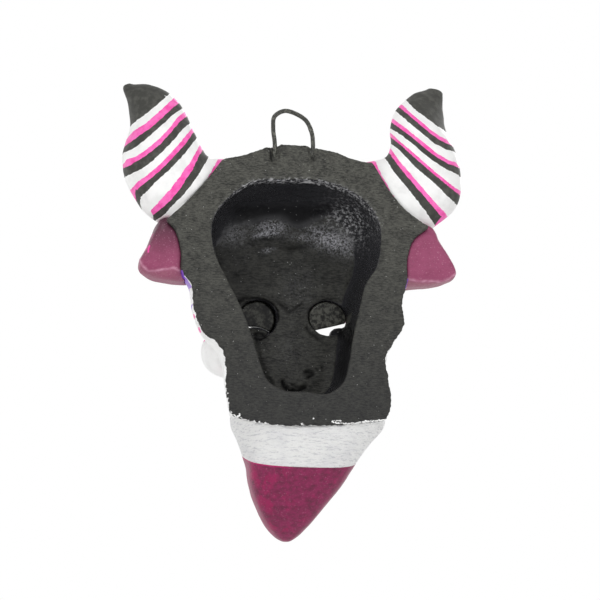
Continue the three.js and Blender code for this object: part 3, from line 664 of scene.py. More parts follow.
# Soft sheen on the swells: photo pixel, half width and height in photo pixels, turn in degrees, strength
SHEENS = [
    ((271, 227), (15, 8), 0, 0.7), ((334, 241), (24, 9.5), 18, 1.0), ((269, 250), (7, 2.2), -12, 0.5),
    ((231, 234), (13, 10), 0, 0.3), ((300, 238), (10, 3), 8, 0.3), ((263, 235), (9, 1.7), -6, 1.3),
    ((318, 231), (12, 1.4), 24, 0.5), ((300, 290), (20, 26), 0, 0.06), ((290, 352), (22, 30), 0, 0.05),
]

# Lower line of the near-black painted shade under the top of the hollow, in photo pixels
DARK_LINE = ([213, 230, 248, 259, 286, 294, 300, 307, 314, 325, 336, 350, 380],
             [246, 226, 221, 217, 218, 221, 223, 223, 220, 214, 206, 204, 228])

# Wet gloss on the walls, which also gets painted glints: photo pixel, half width and height in photo pixels, strength
WET_SPOTS = [((352, 212), (26, 27), 1.0), ((240, 235), (22, 30), 0.1)]

LIP_INSET = 0.8

# Tool marks beside the legs of the wire, painted darker as shade: places in the photo, half width and depth in mm
NOTCHES = [([(268.8, 149), (271, 156), (272.4, 161)], 0.55, 0.6), ([(279, 152), (279.6, 157.5)], 0.45, 0.4),
           ([(308, 150), (309.4, 155)], 0.45, 0.4), ([(312.6, 156), (313.4, 160)], 0.4, 0.4)]

# Spots that no light reaches: photo pixel, half width and height in photo pixels, strength
DARK_SPOTS = [
    ((341, 333), (8, 5), 0.8), ((350, 335), (7, 15), 1.0), ((344, 366), (9, 22), 0.7), ((259, 336), (8, 5), 0.5),
    ((262, 303), (14, 3), 0.4), ((266, 239), (12, 1.8), 0.8), ((297, 246), (14, 1.8), 0.6),
]

# The walls get gloss and a near-black painted shade where the floor turns up by this much
WALL_FACING = (0.45, 0.86)
SHELL_VOXEL = 0.62
GROOVE_LENGTH = 7.0
GROOVES = [(WIRE_LEG_LEFT, 2.0, 1.9), (WIRE_LEG_RIGHT, 1.2, 1.3)]

# Chipped paint along the lower edge of the rim: places on the rim and how easily it chips there
CHIPPED_EDGE = [(37.5, -116), (36.5, -127), (34, -130.8), (24, -132.6), (14, -133.4), (-2, -133.2), (-16, -132.5),
                (-30, -131), (-43, -129.5)]

# Paint chipped off the lower part of the rim: photo pixels and half width in mm
CHIPS = [
    ([(228.2, 408.5), (232.2, 415), (237.5, 417.3), (240.6, 412.6)], 0.42), ([(234.6, 413.6), (239, 418.6)], 0.35),
    ([(226.4, 391.5), (226.8, 396)], 0.35), ([(227.2, 401), (228.4, 405)], 0.35),
    ([(243.4, 418), (245, 421)], 0.4), ([(248.8, 419.4), (250, 422)], 0.45), ([(254.2, 420.2), (256, 422.6)], 0.35),
    ([(259.4, 420.6), (261, 423.2)], 0.45), ([(265, 421.4), (269, 423.4)], 0.4), ([(302.4, 422.8), (303, 423.4)], 0.55),
    ([(313, 417.2), (313.6, 417.8)], 0.3), ([(331.5, 420.2), (341, 419.9)], 0.28),
    ([(333, 421.4), (345, 422.8), (353, 422.3)], 0.3), ([(354, 422.2), (366, 420.6), (374, 419.6), (386, 418.9)], 0.3),
    ([(365.4, 420), (366, 420.4)], 0.5), ([(286, 424.6), (290, 425.2)], 0.3), ([(276, 423.6), (279, 424.2)], 0.3),
]

# Paint strokes on the front of the face: colour field, places, half width
SIDE_STROKES = {
    "violet": [
        ([(58.5, -55), (56, -62), (50.5, -68), (46, -70)], 1.1),
        ([(54, -74), (49, -79), (45.5, -80)], 0.9),
        ([(13, -26), (25, -30), (37, -37)], 0.9),
        ([(15, -33), (26, -37), (36, -43)], 0.8),
        ([(-4.5, -8), (-2.2, -16), (-4.5, -24), (-2.2, -33)], 1.0),
    ],
    "pink": [
        ([(50.5, -86)], 1.3), ([(46.5, -93)], 1.1), ([(53, -79)], 1.1), ([(8.5, -22)], 1.5),
        ([(16, -20)], 1.3), ([(24, -20)], 1.2), ([(32, -23)], 1.1), ([(39.5, -28)], 1.0),
        ([(-2.2, -3)], 1.6), ([(30, -110)], 1.2), ([(33, -116)], 1.1), ([(35, -103)], 1.1),
        ([(-2.2, -41)], 1.5), ([(6, -44)], 1.1), ([(13, -48)], 1.0),
    ],
}


def shell_blank():
    """The mask body with its hollow and eye holes, which of its points lie inside, and how far off the eyes."""
    body = combine(dome(), hollow())
    for side in (1, -1):
        drill = tube(eye_centre(side), [(y, EYE_HOLE_RADIUS + EYE_TRIMS[side]) for y in (-20, -60)])
        combine(body, combine(within_eye_limit(drill, side), eye_fill(side)))
    points = points_of(evened(body, SHELL_VOXEL, 7))
    places, y, z = points[:, [0, 2]], points[:, 1], points[:, 2]
    inside = inside_outline(places, HOLLOW_EDGE) & (y > -44)
    upper, from_eyes = smooth_step(z, -66, -50), np.min(eye_distances(places), axis=0)
    corner = inside * smooth_step(-y, 8, 22) * smooth_step(from_eyes, 11, 15)
    smoothed(body, 240, 0.6, corner * upper)
    smoothed(body, 40, 0.6, corner * (1 - upper))
    return body, inside, from_eyes


def shell_zones(body, inside, from_eyes):
    """Where the points of the mask body lie, and how much each belongs to the rim, hollow, front and so on."""
    at = SimpleNamespace(points=points_of(body), from_eyes=from_eyes)
    y, z = at.points[:, 1], at.points[:, 2]
    at.places = at.points[:, [0, 2]]
    at.seen = seen_at(at.points)
    at.shaken = shaken(at.seen, at.points, 1.1, (15, 45), 3.2)
    at.behind_front = y - front_at(*at.places.T)
    at.inside = inside & (at.behind_front > 2.0)
    at.back = smooth_step(y, -3.0, -0.6) * ~at.inside
    at.hollow = at.inside * smooth_step(-y, 0.0, 4.0)
    facing = normals_of(body)[:, 1]
    at.wall = at.inside * (1 - smooth_step(facing, *WALL_FACING))
    at.floor = (at.hollow > 0) * np.clip(facing * 1.5, 0, 1)
    at.to_rim = edge_distance(at.places, OUTLINE[::3])
    at.to_seats = np.minimum(*(edge_distance(at.places, seats, False) for seats in (
        [*HORN_SEAT_RIGHT[::-1], *EAR_SEAT_RIGHT[::-1]], [*HORN_SEAT_LEFT, *EAR_SEAT_LEFT])))
    to_hollow = edge_distance(at.places, curve_points(HOLLOW_OUTLINE, 100, True))
    at.to_lip = np.where(inside_outline(at.places, HOLLOW_EDGE), -to_hollow, to_hollow) + LIP_INSET
    at.lip_shown = smooth_step(at.seen[:, 0], 222, 246) * (1 - 0.6 * smooth_step(at.seen[:, 0], 334, 352))
    at.lip = lip_band(at, at.points, 1.1)
    at.wet = np.clip(sum(share * spot(at.seen, pixel, half) for pixel, half, share in WET_SPOTS), 0, 1) * at.hollow
    at.creases = line_lift(at.shaken, CREASES)
    at.notches = line_lift(at.shaken, NOTCHES) * at.back
    return at


def lip_band(at, points, half):
    """Band along the upper edge of the hollow."""
    band = near(at.to_lip, half) * (points[:, 1] > -7) * smooth_step(points[:, 2], -37, -24)
    return band * (0.35 + 0.65 * at.lip_shown)


def shell_lift(at):
    """Relief of the mask body in mm: lumps, grain, swells, lines and the grooves of the wire."""
    points = at.points
    front = np.clip(1 - at.back - at.hollow, 0, 1)
    lift = 0.28 * LUMPS.layers(points, 19, 2) * (1 - 0.6 * at.back)
    lift += at.hollow * (0.55 * LUMPS.at(points + 300, 17) + 0.16 * GRAIN.at(points, 3.6)
                         + 0.06 * GRAIN.at(points, 1.6))
    lift += at.back * (0.07 * GRAIN.at(points, 3.2) + 0.05 * GRAIN.at(points, 1.5))
    lift += front * 0.10 * GRAIN.at(points, 4.5)
    lumps = np.clip(at.wet + 0.5 * at.wall, 0, 1)
    lift += lumps * (0.42 * GRAIN.at(points + 20, 3.4) + 0.34 * GRAIN.at(points + 60, 1.9))
    lift += at.lip * (0.5 * GRAIN.at(points + 50, 2.6) + 0.35)
    for pixel, half_x, half_z, height, break_off in SWELLS:
        swell = height * spot(at.seen, pixel, (half_x * PHOTO_SCALE, half_z * PHOTO_SCALE))
        if break_off:
            swell *= 1 - smooth_step(at.seen[:, 1], break_off - 1.2, break_off + 1.5)
        lift += swell * at.floor
    ridges = line_lift(at.shaken, RIDGES) * (0.8 + 0.6 * GRAIN.at(points, 1.8))
    lift += (ridges - at.creases) * at.floor
    for (x, z), half, depth in GROOVES:
        along = np.clip(points[:, 2], z - 0.5, z + GROOVE_LENGTH)
        away = np.hypot(points[:, 0] - x - 0.35 * GRAIN.at(points, 3), points[:, 2] - along)
        shape = depth * near(away, half) - 0.18 * near(away - half * 1.8, half * 0.5)
        lift -= shape * (points[:, 1] > -6) * at.back
    return lift - at.notches


def ragged_edge(body, at):
    """Roughens the outer edge of the rim and gives the points as they then lie before it."""
    points = points_of(body)
    edge = near(at.to_rim, 1.4) * (points[:, 1] > -5) * smooth_step(at.to_seats, 0.5, 3)
    edge = edge * (1 + 0.7 * smooth_step(-at.places[:, 1], 60, 100))
    ragged = edge * (0.34 * RAGGED.at(points + 7, 2.6) + 0.24 * RAGGED.at(points + 21, 1.3))
    set_points(body, points + normals_of(body) * [1, 0, 1] * ragged[:, None])
    return points


def paint_edges(at):
    """Signed distance to the black coat, which covers the back, the rim's edge and the hollow."""
    by_eye = at.from_eyes < EYE_HOLE_RADIUS + 1.2
    white_band = np.where(by_eye, 0.6, 3.2)
    skin = np.where(at.inside | by_eye, at.behind_front - white_band, -FAR)
    wobble = 0.8 * RAGGED.layers(at.points, 6, 2)
    return np.maximum(skin, at.points[:, 1] + 1.6 + wobble + 2.0 * (1 - smooth_step(at.to_seats, 1.5, 4)))


def shell_shades(at, points):
    """Fields for the painted shade of the hollow and rim, the gloss, and the painted sheen and glints in the hollow."""
    x, y = at.seen.T
    line = np.interp(at.shaken[:, 0], *DARK_LINE) + 4 * LUMPS.at(points + 80, 9)
    overhang_shade = (1 - smooth_step(y, line - 3, line + 9)) * at.hollow
    deep_shade = np.clip(at.creases * 0.8, 0, 1) * at.floor
    deep_shade += 0.75 * span(y, (198, 212), (line - 5, line + 6)) * span(x, (222, 244), (326, 344))
    deep_shade += sum(share * spot(at.seen, pixel, half) for pixel, half, share in DARK_SPOTS)
    sheen = sum(share * spot(at.shaken, pixel, half, turn) for pixel, half, turn, share in SHEENS)
    left_shade = 0.35 * near(x - 226, 30) * (1 - smooth_step(y, 300, 345))
    shade = np.clip(left_shade + 0.4 * (1 - smooth_step(y, 262, 340)), 0, 1) * at.hollow
    lip = np.maximum(at.lip, 0.8 * lip_band(at, points, 1.2))
    return {
        "wall": np.clip(np.maximum(at.wall, overhang_shade), 0, 1),
        "wet": np.clip(at.wet + at.lip * at.inside + 0.4 * at.wall, 0, 1),
        "deep_shade": np.clip(deep_shade, 0, 1) * at.inside + np.clip(1.5 * at.notches, 0, 0.85),
        "lip": near(at.to_lip, 0.8) * at.lip_shown * (points[:, 1] > -5),
        "glint": np.clip(at.wet * (1 - 0.7 * overhang_shade) + 1.2 * lip, 0, 1),
        "sheen": np.clip(sheen, 0, 1) * at.floor,
        "shade": shade + 0.73 * smooth_step(-at.places[:, 1], 10, 140) * at.back,
    }


def face_marks(at, y):
    """Fields for the mouth, the rings round the eyes and the strokes on the front."""
    x, z = at.places.T
    across = (x - EYE_MIDDLE[0]) / (MOUTH_HALF_WIDTH * 0.93)
    upward = (z - (MOUTH_TOP - MOUTH_OPENING * 0.5)) / (MOUTH_OPENING * 0.5)
    rings = [np.abs(away - EYE_HOLE_RADIUS - LID_MARGIN - 1.2) - 0.8 for away in eye_distances(at.places)]
    marks = {"mouth": (np.hypot(across, upward) - 1) * 8, "ink": np.minimum(*rings)}
    marks = {name: np.where(y < -10, away, FAR) for name, away in marks.items()}
    return marks | {colour: stroke_field(at.places, strokes, y) for colour, strokes in SIDE_STROKES.items()}


def face_shell():
    body, inside, from_eyes = shell_blank()
    at = shell_zones(body, inside, from_eyes)
    push(body, shell_lift(at))
    points = ragged_edge(body, at)
    y = points[:, 1]
    set_fields(
        body, black=paint_edges(at), hollow=at.hollow, **shell_shades(at, points), **face_marks(at, y),
        chip=np.where(y > -3.5, line_field(at.seen, CHIPS, PHOTO_SCALE), FAR),
        dab=np.where(y < -0.4, photo_field(body, VIOLET_DABS), FAR),
        rim_inset=np.where(y > -4, at.to_rim, FAR),
        chipped=(near(edge_distance(at.places, CHIPPED_EDGE, False), 2.2)
                 * (0.35 + 0.65 * smooth_step(at.places[:, 0], 8, 26))))
    return body


# Horns

def horn_middle(lean):
    return -(HORN_BACK_SETBACK + HORN_THICKNESS / 2 + lean)


def horn(side):
    inner, outer = HORNS[side]
    a = curve_points([(x, lean, z) for (x, z), lean in zip(inner, HORN_LEAN)], 44)
    b = curve_points([(x, share, z) for (x, z), share in zip(outer, HORN_SHARES)], 44)
    rings = []
    for (ax, lean, az), (bx, share, bz) in zip(a, b):
        centre, half_width = ((ax + bx) / 2, horn_middle(lean), (az + bz) / 2), ((bx - ax) / 2, 0, (bz - az) / 2)
        rings.append(ring(centre, half_width, (0, HORN_THICKNESS / 2 * share, 0), 72))
    tip = rings[-1]
    middle = tip.mean(axis=0)
    ahead = np.cross(tip[0] - middle, tip[18] - middle)
    ahead *= np.sign(ahead[2]) / np.linalg.norm(ahead)
    for scale, forward in HORN_CAP:
        rings.append(middle + (tip - middle) * scale + ahead * forward)
    return loft("horn", rings)


# Rounded end of a horn: how wide each ring is beside the last one, and how far ahead in mm
HORN_CAP = [(0.9, 0.8), (0.6, 1.3)]

# Places on the two horns are read from enlarged views of the photo: the corner and the scale of each
ENLARGED = {"left": ((100.0, 70.0), 7.127), "right": ((300.0, 70.0), 7.11)}
HORN_CHORDS = {
    "left": [
        ((960, 700), (560, 1180)), ((868, 640), (470, 1075)), ((773, 615), (380, 1045)), ((683, 488), (250, 880)),
        ((634, 378), (175, 752)), ((580, 268), (162, 583)), ((485, 172), (210, 392)), ((370, 118), (186, 240)),
        ((235, 85), (168, 110)), ((190, 60), (160, 75)),
    ],
    "right": [
        ((430, 735), (840, 1240)), ((512, 665), (955, 1140)), ((617, 625), (1022, 1062)), ((646, 520), (1122, 950)),
        ((644, 412), (1150, 762)), ((684, 293), (1100, 578)), ((762, 210), (1024, 418)), ((830, 155), (1016, 300)),
        ((915, 126), (1024, 180)), ((950, 90), (1030, 110)),
    ],
}

# Edges between the painted bands, from the tip down: each runs from the inner to the outer outline
BAND_EDGES = {
    "left": [
        [(487, 175), (402, 253), (312, 325), (242, 375), (214, 395)],
        [(520, 203), (430, 292), (335, 378), (235, 440), (190, 495), (172, 530)],
        [(557, 239), (497, 293), (442, 348), (367, 415), (292, 465), (222, 515), (174, 548)],
        [(586, 275), (526, 317), (456, 382), (386, 447), (306, 517), (236, 567), (172, 591)],
        [(600, 300), (545, 350), (500, 418), (420, 500), (350, 562), (270, 615), (195, 640), (168, 675)],
        [(616, 332), (573, 367), (518, 437), (448, 517), (368, 587), (288, 642), (218, 682), (170, 697)],
        [(639, 384), (595, 421), (535, 496), (465, 571), (385, 646), (305, 706), (240, 736), (183, 759)],
        [(655, 418), (610, 475), (560, 540), (500, 605), (430, 680), (350, 750), (275, 800), (234, 845)],
        [(665, 450), (620, 520), (560, 590), (500, 655), (430, 725), (350, 790), (290, 835), (262, 868),
         (252, 905)],
        [(687, 493), (644, 550), (594, 615), (534, 680), (464, 745), (394, 810), (324, 875), (291, 910),
         (289, 965)],
        [(715, 533), (680, 600), (640, 675), (600, 720), (555, 795), (500, 860), (440, 925), (390, 980),
         (366, 1010)],
        [(733, 570), (700, 630), (660, 720), (620, 780), (570, 860), (510, 930), (450, 985), (400, 1022),
         (380, 1040)],
        [(777, 621), (744, 686), (704, 751), (654, 826), (598, 895), (528, 960), (476, 1021), (436, 1053),
         (406, 1069)],
        [(843, 632), (815, 690), (790, 738), (765, 790), (700, 870)],
    ],
    "right": [
        [(764, 210), (832, 282), (902, 332), (962, 377), (1024, 415)],
        [(735, 243), (790, 300), (860, 360), (930, 420), (1000, 468), (1045, 488), (1072, 522)],
        [(718, 263), (786, 323), (856, 383), (926, 443), (996, 493), (1051, 518), (1086, 528)],
        [(691, 288), (753, 345), (823, 405), (893, 465), (963, 520), (1033, 555), (1101, 575)],
        [(664, 340), (740, 400), (820, 465), (900, 530), (980, 595), (1050, 635), (1110, 652), (1138, 685)],
        [(658, 368), (736, 428), (816, 488), (896, 558), (976, 618), (1056, 663), (1148, 693)],
        [(647, 408), (722, 456), (802, 521), (882, 591), (962, 651), (1042, 701), (1112, 731), (1152, 760)],
        [(652, 447), (720, 515), (790, 575), (870, 645), (950, 715), (1030, 780), (1100, 832), (1142, 858)],
        [(656, 479), (724, 534), (794, 599), (874, 669), (954, 739), (1034, 804), (1104, 859), (1142, 887)],
        [(647, 519), (701, 559), (761, 624), (821, 689), (901, 754), (981, 824), (1051, 894), (1119, 954)],
        [(648, 555), (700, 640), (760, 710), (820, 780), (880, 850), (940, 920), (1000, 985), (1040, 1025)],
        [(643, 595), (695, 670), (745, 735), (805, 805), (865, 875), (925, 945), (985, 1015), (1013, 1045),
         (1005, 1090)],
        [(612, 630), (655, 700), (705, 770), (765, 840), (825, 910), (880, 985), (925, 1045), (960, 1103),
         (985, 1123)],
        [(540, 655), (580, 740), (625, 825), (665, 905), (690, 985)],
    ],
}
BAND_COLOURS = ["black", "white", "pink", "black", "white", "pink", "black", "white", "pink", "black", "white",
                "pink", "black", "white", "pink"]

# Ends of bands along the outer side of each horn, as outlines in photo pixels
BAND_ENDS = {
    "left": {
        "white": [[(138, 206), (149, 207.5), (151.3, 211.5), (153.8, 216), (154, 226), (138, 226)]],
        "pink": [[(132.6, 188), (136.6, 190), (136.4, 198), (139.6, 206.5), (137.4, 206), (134, 199)]],
        "black": [[(136.4, 189.5), (142, 193.5), (139.3, 198.5), (141.5, 206.5), (144, 215.3), (140.8, 209.5),
                   (137, 202), (135.8, 194)]],
    },
    "right": {
        "pink": [[(446, 212.5), (446.5, 217), (442, 223.5), (438, 229), (435.5, 234), (432.6, 233), (434.2, 227),
                  (436.9, 222.6), (440.5, 218)]],
    },
}


def chord_place(pixels, chords):
    """Place along the row of chords and across them for photo pixels of an enlarged view."""
    chords = np.asarray(chords, float)
    fine = np.linspace(0, len(chords) - 1, 40 * (len(chords) - 1) + 1)
    index = np.minimum(fine.astype(int), len(chords) - 2)
    part = (fine - index)[:, None, None]
    lines = chords[index] * (1 - part) + chords[index + 1] * part
    a, d = lines[:, 0], lines[:, 1] - lines[:, 0]
    offset = np.asarray(pixels, float)[:, None, :] - a[None]
    side = (offset[..., 0] * d[:, 1] - offset[..., 1] * d[:, 0]) / np.linalg.norm(d, axis=1)
    across = np.sum(offset * d, axis=2) / np.sum(d * d, axis=1)
    best = np.argmin(np.abs(side) + 1e3 * np.clip(np.abs(across - 0.5) - 0.9, 0, None), axis=1)
    row, other = np.arange(len(pixels)), np.clip(best + 1, 0, len(fine) - 1)
    s0, s1 = side[row, best], side[row, other]
    part = np.where(np.abs(s0 - s1) > 1e-9, s0 / (s0 - s1), 0)
    return fine[best] + np.clip(part, -1, 1) * (fine[other] - fine[best]), across[row, best]


def band_field(points, side):
    """Number of the painted band at each point, running on smoothly from edge to edge."""
    inner, outer = HORNS[side]
    corner, scale = ENLARGED[side]
    middles = horn_middle(np.array(HORN_LEAN))
    centres = (np.array(inner) + np.array(outer)) / 2
    nearest = np.argmin(np.linalg.norm(points[:, None, [0, 2]] - centres[None], axis=2), axis=1)
    shown = points.copy()
    shown[:, 1] = np.maximum(points[:, 1], 2 * middles[nearest] - points[:, 1])
    along, across = chord_place((seen_at(shown) - corner) * scale, HORN_CHORDS[side])
    edges = []
    for edge in BAND_EDGES[side]:
        u, w = chord_place(edge, HORN_CHORDS[side])
        order = np.argsort(w)
        edges.append(np.interp(across, w[order], u[order]))
    edges = np.minimum.accumulate(np.array(edges), axis=0)
    count = len(edges)
    field, upper = np.full(len(points), float(count)), float(len(HORN_CHORDS[side]))
    for k, edge in enumerate(edges):
        value = k + np.clip((upper - along) / np.maximum(upper - edge, 1e-4), 0, 1)
        field = np.where((along >= edge) & (field == count), value, field)
        upper = edge
    return np.where(field == count, count + np.clip(edges[-1] - along, 0.001, 1), field)


def end_field(obj, side, colour):
    """Signed distance in mm to the band ends of one colour, less than zero inside them."""
    seen = seen_at(points_of(obj))
    best = np.full(len(seen), FAR)
    for outline in BAND_ENDS[side].get(colour, []):
        away = edge_distance(seen, outline) / PHOTO_SCALE
        best = np.minimum(best, np.where(inside_outline(seen, outline), -away, away))
    return np.where(toward_photo(obj) > -0.15, best, FAR)


def painted_horn(side, *cutters):
    body = clay_piece(horn(side), *cutters, voxel=0.75, rounds=4, lumps=(0.32, 13), grain=(0.06, 3.0))
    ends = {f"end_{colour}": end_field(body, side, colour) for colour in ("white", "pink", "black")}
    set_fields(body, band=band_field(points_of(body), side), **ends)
    return body


# Ears, chin and beard

def ear(side):
    rows = [(*s, EAR_THICKNESS * share) for s, share in zip(EARS[side], EAR_SHARES)]
    rings = []
    for x, low, high, depth in curve_points(rows, 36):
        centre = (x, -(EAR_BACK_SETBACK + depth / 2), (high + low) / 2)
        rings.append(ring(centre, (0, depth / 2, 0), (0, 0, (high - low) / 2), 72, EAR_SQUARE_SECTION))
    return loft("ear", rings)


# Ridges that run along the lower fold of each ear, which get a painted highlight, and dabs of other paint, in photo
# pixels
EAR_FOLDS = {
    "left": [(140.5, 259), (142.3, 263), (144.5, 266.6), (149.6, 271), (156.9, 270.9), (168.7, 269.2), (173.8, 268.1),
             (180.4, 270), (183.5, 272.5)],
    "right": [(407.4, 279), (413, 280.4), (420, 281.2), (430, 280.8), (438.2, 281.6), (449.4, 278.8), (455.3, 273.5)],
}
# Strength of the painted reflection on the underside of each ear, and of the painted shade on its top
EAR_UNDERSIDE_REFLECTIONS = {"left": 0.35, "right": 0.75}
EAR_TOP_SHADES = {"left": 0.9, "right": 0.0}
VIOLET_DABS = [([(182.8, 271.5), (184, 276.9), (187, 280.2), (191.4, 287)], 0.6),
               ([(407.2, 279.5), (405.9, 284), (404.4, 288.5)], 0.45)]
PINK_DABS = [([(150.8, 246.2), (149.6, 249.5), (149.5, 252.6)], 0.3)]

# Painted dots near the outer edge of the left ear, with their radius, and what moves the places of the right
# ear onto them. The pressed bowl has its middle, half width and height, and its depth
EAR_DOTS = [(77.4, -45.5), (74.6, -38.6), (70.2, -33.6), (79.6, -51.5)]
EAR_DOT_RADIUS = 1.15
EAR_SHIFTS = {"left": (1, 0, 0), "right": (-1, -4, 3.4)}
EAR_BOWL = ((64, -48), (8, 7.5), 4.2)


def painted_ear(side, mask_body):
    body = evened(cut(ear(side), mask_body), 0.75, 5)
    points = points_of(body)
    x, y, z = points.T
    sign, bowl_shift, dot_shift = EAR_SHIFTS[side]
    middle, half, depth = EAR_BOWL
    places = np.stack([sign * x - bowl_shift, z], axis=1)
    bowl = np.exp(-(((places - middle) / half) ** 2).sum(axis=1))
    relief = 0.28 * LUMPS.layers(points, 10, 2) + 0.05 * GRAIN.at(points, 2.6)
    push(body, relief - depth * bowl * smooth_step(-y, 9, 16))
    places = np.stack([np.abs(x) + dot_shift, z], axis=1)
    dots = np.min([np.linalg.norm(places - d, axis=1) for d in EAR_DOTS], axis=0) - EAR_DOT_RADIUS
    fold = np.array(EAR_FOLDS[side])
    seen = shaken(seen_at(points_of(body)), points, 0.7, (9, 31), 2.5)
    toward = toward_photo(body) > 0
    ridge = near(edge_distance(seen, fold, False), 1.1) * toward
    push(body, 0.22 * ridge)
    below = seen[:, 1] - np.interp(seen[:, 0], *fold.T)
    # The underside gets a painted reflection, the fold ridge a painted highlight and the top of the left ear a painted
    # shade
    set_fields(
        body, dots=np.where(y < -5, dots, FAR), bowl=np.where(y < -8, 0.42 - bowl, 1),
        fold=ridge * np.clip(0.75 + 0.9 * GRAIN.at(points + 77, 2.2), 0.1, 1.2),
        under=smooth_step(below, 0.5, 2.5) * toward * EAR_UNDERSIDE_REFLECTIONS[side],
        violet=photo_field(body, VIOLET_DABS), dab=photo_field(body, PINK_DABS),
        top=EAR_TOP_SHADES[side] * (1 - smooth_step(seen[:, 1], 215, 268)) * toward)
    return body


def beard_block():
    return loft("beard", [
        ring((middle, -(front + back) / 2, z), (half, 0, 0), (0, (front - back) / 2, 0), 96, BEARD_SQUARE_SECTION)
        for z, middle, half, back, front in curve_points(CHIN_SLICES, 60)])


def box_mesh(size):
    corners = np.array([[x, y, z] for x in (-1, 1) for y in (-1, 1) for z in (-1, 1)], float) * size / 2
    return corners, [(0, 1, 3, 2), (4, 6, 7, 5), (0, 4, 5, 1), (2, 3, 7, 6), (0, 2, 6, 4), (1, 5, 7, 3)]


HALF_SPACE = 300.0


def half_space(upward, overlap):
    """Large block on one side of the joint of chin and beard."""
    corners, faces = box_mesh(HALF_SPACE)
    x, y, z = (corners + [0, 0, upward * (HALF_SPACE / 2 - overlap)]).T
    tilt = -math.radians(BEARD_JOINT_TILT)
    y, z = y * math.cos(tilt) - z * math.sin(tilt), y * math.sin(tilt) + z * math.cos(tilt)
    return new_object("block", np.stack([x, y + BEARD_JOINT[0], z + BEARD_JOINT[1]], axis=1), faces)


def chin_and_beard(*cutters):
    whole = evened(cut(beard_block(), *cutters), 0.85, 4)
    points = points_of(whole)
    x, y, z = points.T
    front = smooth_step(-y, 26, 38) * span(-z, (146, 152), (166, 178))
    strand = np.sin((x + 2) / (np.clip(190 + z, 3, 60) / 60 * 3.6 + 0.4) + 1.2 * np.sin(z / 7))
    relief = 0.30 * LUMPS.layers(points, 16, 2) + 0.06 * GRAIN.at(points, 3.0)
    push(whole, relief - front * 0.55 * np.clip(strand, 0, 1) ** 2)
    beard = placed("beard", whole.data.copy())
    chin = combine(whole, half_space(1, 0.0), "INTERSECT")
    combine(beard, half_space(-1, 0.05), "INTERSECT")
    x, y, z = points_of(beard).T
    turned = 1 - toward_photo(beard)
    tilt = math.radians(BEARD_JOINT_TILT)
    below = -((z - BEARD_JOINT[1]) * math.cos(tilt) + (y - BEARD_JOINT[0]) * math.sin(tilt))
    # The edges that turn away get a painted reflection
    set_fields(beard, edge=0.6 * smooth_step(turned, 0.45, 1.0) * (turned < 1.15),
               warm=0.12 * smooth_step(x, -6, 12),
               joint=0.8 * (1 - smooth_step(below, 0.25, 0.9)) * smooth_step(x, 2, 10))
    return chin, beard


# Rolls, pads and small pieces

def roll(points, wide, high, grown=0.0, steps=40, count=32):
    """Clay roll with round ends; wide is its half width on the face and high its half height."""
    fine = curve_points(points, 400)
    tangents = np.gradient(fine, axis=0)
    rings = []
    for k in range(steps + 1):
        u = 0.012 + 0.976 * (1 - math.cos(k / steps * math.pi)) / 2
        i = min(int(round(u * 400)), 400)
        tangent = tangents[i] / np.linalg.norm(tangents[i])
        side = np.cross((0, -1, 0), tangent)
        side /= np.linalg.norm(side)
        taper = math.sqrt(1 - abs(2 * u - 1) ** 5)
        half, rise = (np.interp(u, np.linspace(0, 1, len(v)), v) * taper + grown for v in (wide, high))
        rings.append(ring(fine[i], half * side, rise * np.cross(tangent, side), count))
    return loft("roll", rings)


def face_roll(places, lift, wide, high, grown=0.0):
    """Roll along [x, z] places on the front, lifted off it."""
    lifts = np.broadcast_to(lift, len(places))
    return roll([on_face(place, up) for place, up in zip(places, lifts)], wide, high, grown)


LID_SHADES = {"left": 0.85, "right": 0.12}
LID_KNIFE = 60.0


def lid_knife(side):
    """Block below the slanted edge of an upper lid."""
    knife = new_object("knife", *box_mesh(LID_KNIFE))
    turn = Matrix.Rotation(-side * math.radians(LID_SLANT), 3, "Y")
    turn = turn @ Matrix.Rotation(-math.radians(LID_UNDERCUT), 3, "X")
    points = points_of(knife) - [0, 0, LID_KNIFE / 2 + LID_EDGE_DROPS[side]]
    set_points(knife, points @ np.array(turn).T + on_face(eye_centre(side)))
    return knife


def upper_lid(side, mask_body):
    """Pad over the eye with the round plug behind it, both cut off along the slanted edge."""
    x, z = eye_centre(side)
    reach, radius = EYE_HOLE_RADIUS + LID_MARGIN, EYE_PLUG_RADIUS + EYE_TRIMS[side]
    pad = cut(ball(on_face((x, z)), (reach, LID_THICKNESS, reach)), mask_body)
    back = -(HOLLOW_DEPTH + EYE_PLUG_SETS[side])
    profile = [(front_at(x, z)[0] - LID_THICKNESS / 2, radius)]
    profile += [(back - along * EYE_PLUG_ROUND, radius * share) for along, share in EYE_PLUG_CAP_SHARES[::-1]]
    plug = within_eye_limit(tube((x + side * EYE_PLUG_SHIFT, z), profile), side, 0.4)
    combine(pad, combine(plug, eye_fill(side, 0.2)), "UNION")
    return combine(pad, lid_knife(side))


def painted_lid(side, word, mask_body):
    lid = clay_piece(upper_lid(side, mask_body), voxel=0.5)
    x, y, z = points_of(lid).T
    reach = np.linalg.norm(points_of(lid)[:, [0, 2]] - eye_centre(side), axis=1)
    turned_away = np.where(normals_of(lid)[:, 1] > -0.3, -1.0, 1.0)
    behind = np.maximum(reach - EYE_HOLE_RADIUS - 0.4, np.minimum(2.2 - (y - front_at(x, z)), turned_away))
    set_fields(lid, behind=behind, shade=LID_SHADES[word])
    return lid


def lower_lid(side):
    drop = EYE_HOLE_RADIUS + LOWER_LID_RADIUS + LOWER_LID_GAP
    route = [face_place(side, EYE_SPACING / 2 + a * LOWER_LID_LENGTH, EYE_MIDDLE[1] - d * drop)
             for a, d in ((-0.5, 0.62), (0, 1), (0.5, 0.5))]
    return face_roll(route, 0.5, np.multiply((0.8, 1, 0.8), LOWER_LID_RADIUS), [LOWER_LID_RADIUS] * 2)


